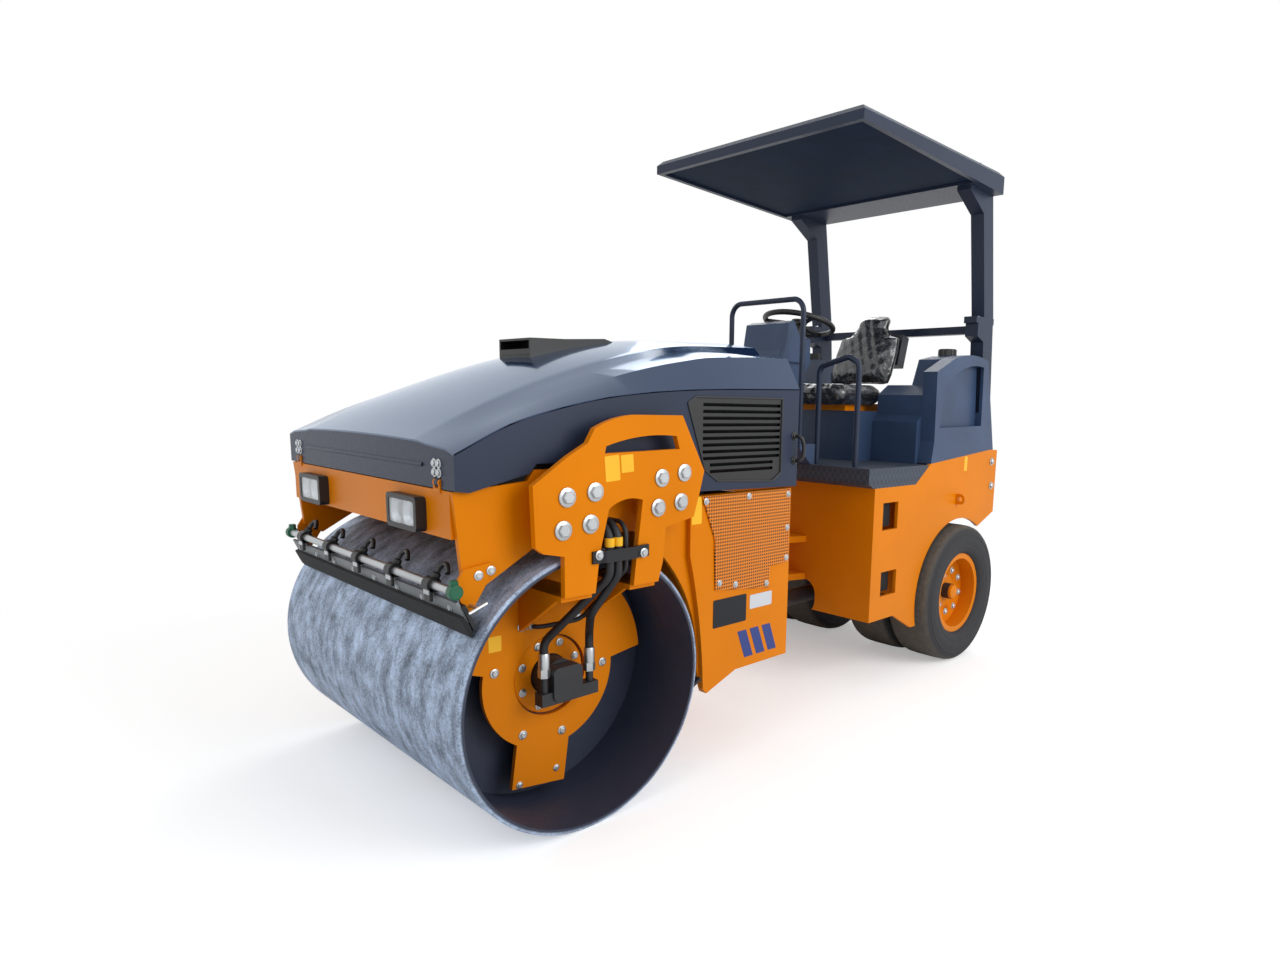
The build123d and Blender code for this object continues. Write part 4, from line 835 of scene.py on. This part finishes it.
class RollerHoodTrim(bpy.types.Operator):
    """Smooth top skin, hinge bolts, fascia bead, sheets of painted shade, handles, grille rims and
    blades
    """

    bl_idname = "scene.roller_hood_trim"
    bl_label = "Hood trim"

    def execute(self, context):
        self.top()
        self.fascia()
        for word, side in SIDES:
            self.shade_sheet_and_handle(word, side)
            self.grille(word, side)
        lines = [slab(rounded(176, 5, 2), spot((-150.3, 0, z)), (0, 1, 0), (0, 0, 1), 1.0)
                 for z in (1396, 1408, 1420, 1432)]
        piece("intake_lines", lines, "hood", "bare_plate")
        return {"FINISHED"}

    def top(self):
        """Top panel, 1.5 mm above the solid hood.

        Across, a bevel, a step to the raised middle and a parabola over it; along, the cubic
        through the loft's rows.
        """
        # Each row: x, the side's height, then y and z at three ridges, and the middle's rise
        rows = np.array(((389, 1140, 560, 1152, 450, 1160, 400, 1166, 6),
                         (229, 1216, 548, 1228, 445, 1234, 410, 1246, 20),
                         (66, 1262, 544, 1288, 438, 1299, 404, 1312, 32),
                         (-96, 1294, 542, 1336, 430, 1352, 398, 1366, 40),
                         (-270, 1314, 541, 1381, 423, 1400, 393, 1416, 38),
                         (-443, 1326, 540, 1415, 417, 1436, 387, 1454, 34),
                         (-616, 1333, 540, 1438, 412, 1460, 382, 1480, 32),
                         (-974, 1342, 540, 1453, 402, 1468, 370, 1498, 30)), float)
        x, z0, y1, z1, y2, z2, y3, z3, crown = smooth_path(rows, 6).T
        s = np.linspace(-1, 1, 25)[:, None]
        middle_y, middle_z = y3 * s, z3 + crown * (1 - s ** 2)
        left_y = np.stack((np.full_like(x, HOOD_SIDE), y1, y2))
        left_z = np.stack((z0, z1, z2))
        across = np.vstack((-left_y, middle_y, left_y[::-1]))
        height = np.vstack((left_z, middle_z, left_z[::-1])) + 1.5
        grid = np.stack((np.broadcast_to(x, across.shape) + DRUM_X, across, height), -1)
        piece("hood_top", [skin(grid, 5)], "hood", "hood_gloss", 30)

    def fascia(self):
        """Hinge bolts, and a pressed bead across the fascia: a low rounded ridge."""
        heads = front(*[(389, side * y, z) for _, side in SIDES for y in (500, 525)
                        for z in (1088, 1112)])
        piece("hinge_bolts", [bolts(heads, (1, 0, 0), 9)], "hood", "zinc_steel")
        u = np.linspace(0, pi, 9)
        arc = np.stack((389 + 4.5 * np.sin(u), 1104 + 6 * np.cos(u)), -1)
        ridge = [(x, y, z) for y in np.linspace(-430, 430, 3) for x, z in arc]
        piece("fascia_bead", [(front(*ridge), tube(3, len(u)))], "hood", "dark_paint")

    def shade_sheet_and_handle(self, word, side):
        """A black rubber sheet inside the cheek, painted shade that closes the gap under the skirt,
        and a handle.
        """
        gap_shade_sheet = np.array(((-410, 1030), (290, 1030), (290, 1092), (150, 1122), (-410, 1138)),
                        float) * (-side, 1)
        gap_shade_sheet = slab(gap_shade_sheet[::-side], spot((0, 568, 0), side), (-side, 0, 0), (0, 0, 1), 4)
        piece(f"skirt_shade_sheet_{word}", [gap_shade_sheet], "front_frame", "rubber_mat")
        grip = smooth_path([(-952, 604, 1170), (-956, 628, 1168), (-962, 638, 1155),
                            (-968, 640, 1125), (-966, 638, 1092), (-958, 628, 1080),
                            (-954, 604, 1078)], 5)
        handle = carried(mirrored(front(*grip), side), 7, 12, (0.9, 0, 0.1))
        ends = side_bolts(((-952, HOOD_SIDE, 1170), (-954, HOOD_SIDE, 1078)), side, 11, 16)
        piece(f"hood_handle_{word}", [handle, ends], "hood", "black_plastic")

    def grille(self, word, side):
        """A rubber rim carried along the grille's corners, and blades behind its slots."""
        corners = ((-446, 1303), (-878, 1305), (-879, 1037), (-833, 1008), (-550, 1023),
                   (-490, 1062), (-410, 1282), (-446, 1303))
        rim = [(x, HOOD_SIDE + 1.0, z) for x, z in corners]
        bars = [carried(mirrored(front(a, b), side), 3.5, 8, (0, 1, 0))
                for a, b in zip(rim[:-1], rim[1:])]
        piece(f"grille_rim_{word}", bars, "hood", "dark_casting")
        # Each blade is a strip whose top leans out 35 degrees; the two lowest are shorter
        blades = [slab(rounded(390 if row > 1 else 320, 22, 2),
                       spot((-675, 591, 1045 + (row + 0.5) * 245 / 11), side), (-side, 0, 0),
                       (0, side * 0.57, 0.82), 2.0, 0.4) for row in range(11)]
        piece(f"grille_blades_{word}", blades, "hood", "black_plastic")


class RollerRearFittings(bpy.types.Operator):
    """Screws, blank plates, stripes and stickers on the rear panels and tank"""

    bl_idname = "scene.roller_rear_fittings"
    bl_label = "Rear fittings"

    def execute(self, context):
        panel_x, plate_z = (-621, -784, -452), (558, 572, 930)
        screws = ((-490, 616, 958), (-560, 616, 668), (-640, 616, 652), (-806, 616, 632),
                  (-915, 616, 715), (-915, 616, 830), (-915, 616, 955), (-700, 616, 962))
        # A stripe is a parallelogram that leans forward at the top
        lean = np.array(((-38, -52), (8, -52), (48, 52), (2, 52)), float)
        plate, badge, sticker = [spot((x, PANEL_FACE, z)) for x, z in zip(panel_x, plate_z)]
        for word, side in SIDES:
            piece(f"cover_screws_{word}", [side_bolts(screws, side, 8)], "front_frame",
                  "zinc_steel")
            film(f"blank_plate_{word}", plate, 168, 100, side, "front_frame", "bare_plate", 5,
                 1.6, 0.5)
            film(f"small_plate_{word}", badge, 120, 52, side, "front_frame", "pale_film", 4, 1.2,
                 0.4)
            for index, x in enumerate((-840, -775, -710)):
                corners = lean * (-side, 1)
                stripe = slab(corners if side < 0 else corners[::-1],
                              spot((x, PANEL_FACE, 421), side), (-side, 0, 0), (0, 0, 1), 0.8)
                piece(f"panel_stripe_{word}_{index}", [stripe], "front_frame", "blue_film")
            film(f"panel_sticker_{word}", sticker, 46, 92, side, "front_frame", "yellow_film")
            large = side_bolts(((-2651, 570, 1011), (-2662, 570, 882)), side, 14)
            piece(f"deck_bolts_{word}", [large], "rear_frame", "zinc_steel")
            film(f"deck_sticker_{word}", spot((-2368, 570, 1010)), 30, 74, side, "rear_frame",
                 "yellow_film", 3)
            # Black sheets inside the two service windows: painted shade of the frame's dark inside
            for index, (x, z, width, height) in enumerate(((-550.5, 800, 100, 104),
                                                           (-561.5, 490, 106, 92))):
                film(f"window_shade_sheet_{word}_{index}", (x, 531, z), width, height, side,
                     "rear_frame", "rubber_mat", thick=3, edge=0.0)
        column = rear(*[(324.5, 120, z) for z in (1240, 1140, 1040)])
        piece("seat_box_bolts", [bolts(column, (1, 0, 0), 7)], "rear_frame", "zinc_steel")
        return {"FINISHED"}


class RollerSeat(bpy.types.Operator):
    """Padded seat cushion and back, blown up from smaller closed forms"""

    bl_idname = "scene.roller_seat"
    bl_label = "Seat"

    def execute(self, context):
        # Cushion: a crowned pad, each layer a rounded rectangle that draws in at top and bottom
        layers = ((1304, 0.88), (1316, 0.97), (1345, 1.0), (1368, 0.97), (1378, 0.86))
        ring = rounded(404, 440, 60, 8)
        cushion = self.stacked([(np.c_[ring[:, 0] * k + 370, ring[:, 1] * k,
                                       np.full(len(ring), z)]) for z, k in layers])
        # Back: sections up the leaning back, wide at the loins and narrow at the head
        rows = ((1400, 190, 24), (1450, 200, 44), (1560, 200, 46), (1640, 190, 44),
                (1665, 130, 40), (1700, 98, 40), (1750, 95, 38), (1770, 80, 24))
        # The middle of the back leans rearwards by 150 mm over 386 mm of height
        lean = [(122 - (z - 1390) * 150 / 386, half, thick, z) for z, half, thick in rows]
        oval = rounded(2, 2, 0.8, 8)
        back = self.stacked([np.c_[x + oval[:, 0] * thick, oval[:, 1] * half,
                                   np.full(len(oval), z)] for x, half, thick, z in lean])
        for name, shape, node, cap, plane, square in (
                ("seat_cushion_pad", cushion, "seat_cushion", 14, (0, 1), (0, 0, 1)),
                ("seat_back_pad", back, "seat_back", 12, (1, 2), (1, 0, 0))):
            pad = piece(name, [shape], "rear_frame", "seat_vinyl", 180)
            self.swell(context, pad, cap * MM)
            finer = pad.modifiers.new("finer", "SUBSURF")
            finer.levels = finer.render_levels = 1
            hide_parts(node)
            piece(f"{node}_welt", [self.welt(pad, plane, square)], "rear_frame", "black_rubber")
        return {"FINISHED"}

    def welt(self, pad, plane, square):
        """A tube round the pad: in each direction of a plane it passes the farthest point."""
        places = np.empty(len(pad.data.vertices) * 3)
        pad.data.vertices.foreach_get("co", places)
        places = places.reshape(-1, 3) / MM
        off = (places - places.mean(axis=0))[:, plane]
        turn, reach = np.arctan2(off[:, 1], off[:, 0]), np.hypot(off[:, 0], off[:, 1])
        loop = []
        for way in np.linspace(-pi, pi, 72, endpoint=False):
            near = np.flatnonzero(np.abs(turn - way) < 0.06)
            loop.append(places[near[reach[near].argmax()]])
        loop = np.array(loop)
        # Three passes even out the steps of the grid
        for _ in range(3):
            loop = (np.roll(loop, 1, axis=0) + 2 * loop + np.roll(loop, -1, axis=0)) / 4
        return carried(np.vstack((loop, loop[:1])), 4, 8, square)

    def stacked(self, rings):
        """Rings of equal count joined into a closed form with flat ends."""
        return rear(*np.vstack(rings)), tube(len(rings), len(rings[0]))

    def swell(self, context, pad, cap):
        """Remesh, blow up with cloth pressure, hold each point within a cap, and smooth."""
        scene = context.scene
        context.view_layer.objects.active = pad
        grid = pad.modifiers.new("grid", "REMESH")
        grid.mode, grid.voxel_size = "VOXEL", PAD_GRID * MM
        bpy.ops.object.modifier_apply(modifier=grid.name)
        count = len(pad.data.vertices)
        before = np.empty(count * 3)
        pad.data.vertices.foreach_get("co", before)
        cloth = pad.modifiers.new("air", "CLOTH")
        cloth.settings.use_pressure = True
        cloth.settings.uniform_pressure_force = PAD_PRESSURE
        cloth.settings.effector_weights.gravity = 0.0
        cloth.point_cache.frame_start, cloth.point_cache.frame_end = 1, PAD_FRAMES
        for number in range(1, PAD_FRAMES + 1):
            scene.frame_set(number)
        bpy.ops.object.modifier_apply(modifier=cloth.name)
        scene.frame_set(1)
        after = np.empty(count * 3)
        pad.data.vertices.foreach_get("co", after)
        move = (after - before).reshape(-1, 3)
        far = np.linalg.norm(move, axis=1)[:, None]
        move *= np.minimum(1.0, cap / np.maximum(far, 1e-9))
        places = before.reshape(-1, 3) + move
        # Wrinkles of the loose film: two crossing waves, as deep all over
        places += (0.0015 * np.sin(places[:, 1:2] * 90 + places[:, 0:1] * 40)
                   * np.sin(places[:, 2:3] * 70 + places[:, 1:2] * 25))
        pad.data.vertices.foreach_set("co", places.ravel())
        pad.data.shade_smooth()
        pad.data.update()


class RollerCabFittings(bpy.types.Operator):
    """Wheel boss, a sheet of painted shade under the canopy, post bolts and filler cap ribs"""

    bl_idname = "scene.roller_cab_fittings"
    bl_label = "Cab fittings"

    def execute(self, context):
        column_lean = radians(14)
        boss = lathe(((-60, 0), (-60, 20), (-6, 26), (4, 40), (12, 38), (18, 24), (20, 0)),
                     spot((633, 0, 1672), base=rear), (-sin(column_lean), 0, cos(column_lean)),
                     28)
        piece("wheel_boss", [boss], "rear_frame", "black_plastic")
        # A flat dark sheet in the recess under the canopy, on the underside's slope: painted shade
        # of the underside
        corners = np.array([[(x, y, 2330 + (x + 176) * 44 / 1195 + 13.5) for y in (-578, 578)]
                            for x in (84, 990)], float)
        piece("canopy_shade_sheet", [skin(corners + (REAR_X, 0, 0), 3)], "rear_frame", "liner_paint")
        posts = rear(*[(x, y, 1746) for x in (-205, -165) for y in (518, -518)])
        piece("post_bolts", [bolts(posts, (0, 0, 1), 10)], "rear_frame", "zinc_steel")
        # Ribs round the filler caps: bars on the rim
        ribs = []
        for _, side in SIDES:
            for turn in np.radians(np.arange(12) * 30):
                foot = rear((-30 + 42 * cos(turn), side * 435 + 42 * sin(turn), 1548))[0]
                ribs.append(lathe(((0, 0), (0, 4), (28, 4), (30, 3), (30, 0)), foot, (0, 0, 1), 8))
        piece("filler_cap_ribs", ribs, "rear_frame", "black_plastic")
        return {"FINISHED"}


class RollerPanel(bpy.types.Panel):
    """Lists the pieces and the look"""

    bl_idname = "VIEW3D_PT_roller"
    bl_label = "Road roller"
    bl_space_type = "VIEW_3D"
    bl_region_type = "UI"
    bl_category = "Roller"

    def draw(self, context):
        look = context.scene.roller_look
        for name in ("paint", "dark_paint", "steel", "bolt", "pitch", "light"):
            self.layout.prop(look, name)
        for step in STEPS:
            self.layout.operator(step.bl_idname)


STEPS = (RollerStage, RollerFinishes, RollerTyres, RollerWheelTrim, RollerYokeFittings,
         RollerFrontFittings, RollerHoodTrim, RollerRearFittings, RollerSeat, RollerCabFittings)
CLASSES = (RollerLook, *STEPS, RollerPanel)


def register():
    for cls in CLASSES:
        bpy.utils.register_class(cls)
    bpy.types.Scene.roller_look = PointerProperty(type=RollerLook)


def unregister():
    del bpy.types.Scene.roller_look
    for cls in reversed(CLASSES):
        bpy.utils.unregister_class(cls)


def main():
    register()
    for step in STEPS:
        group, action = step.bl_idname.split(".")
        getattr(getattr(bpy.ops, group), action)()


if __name__ == "__main__":
    main()
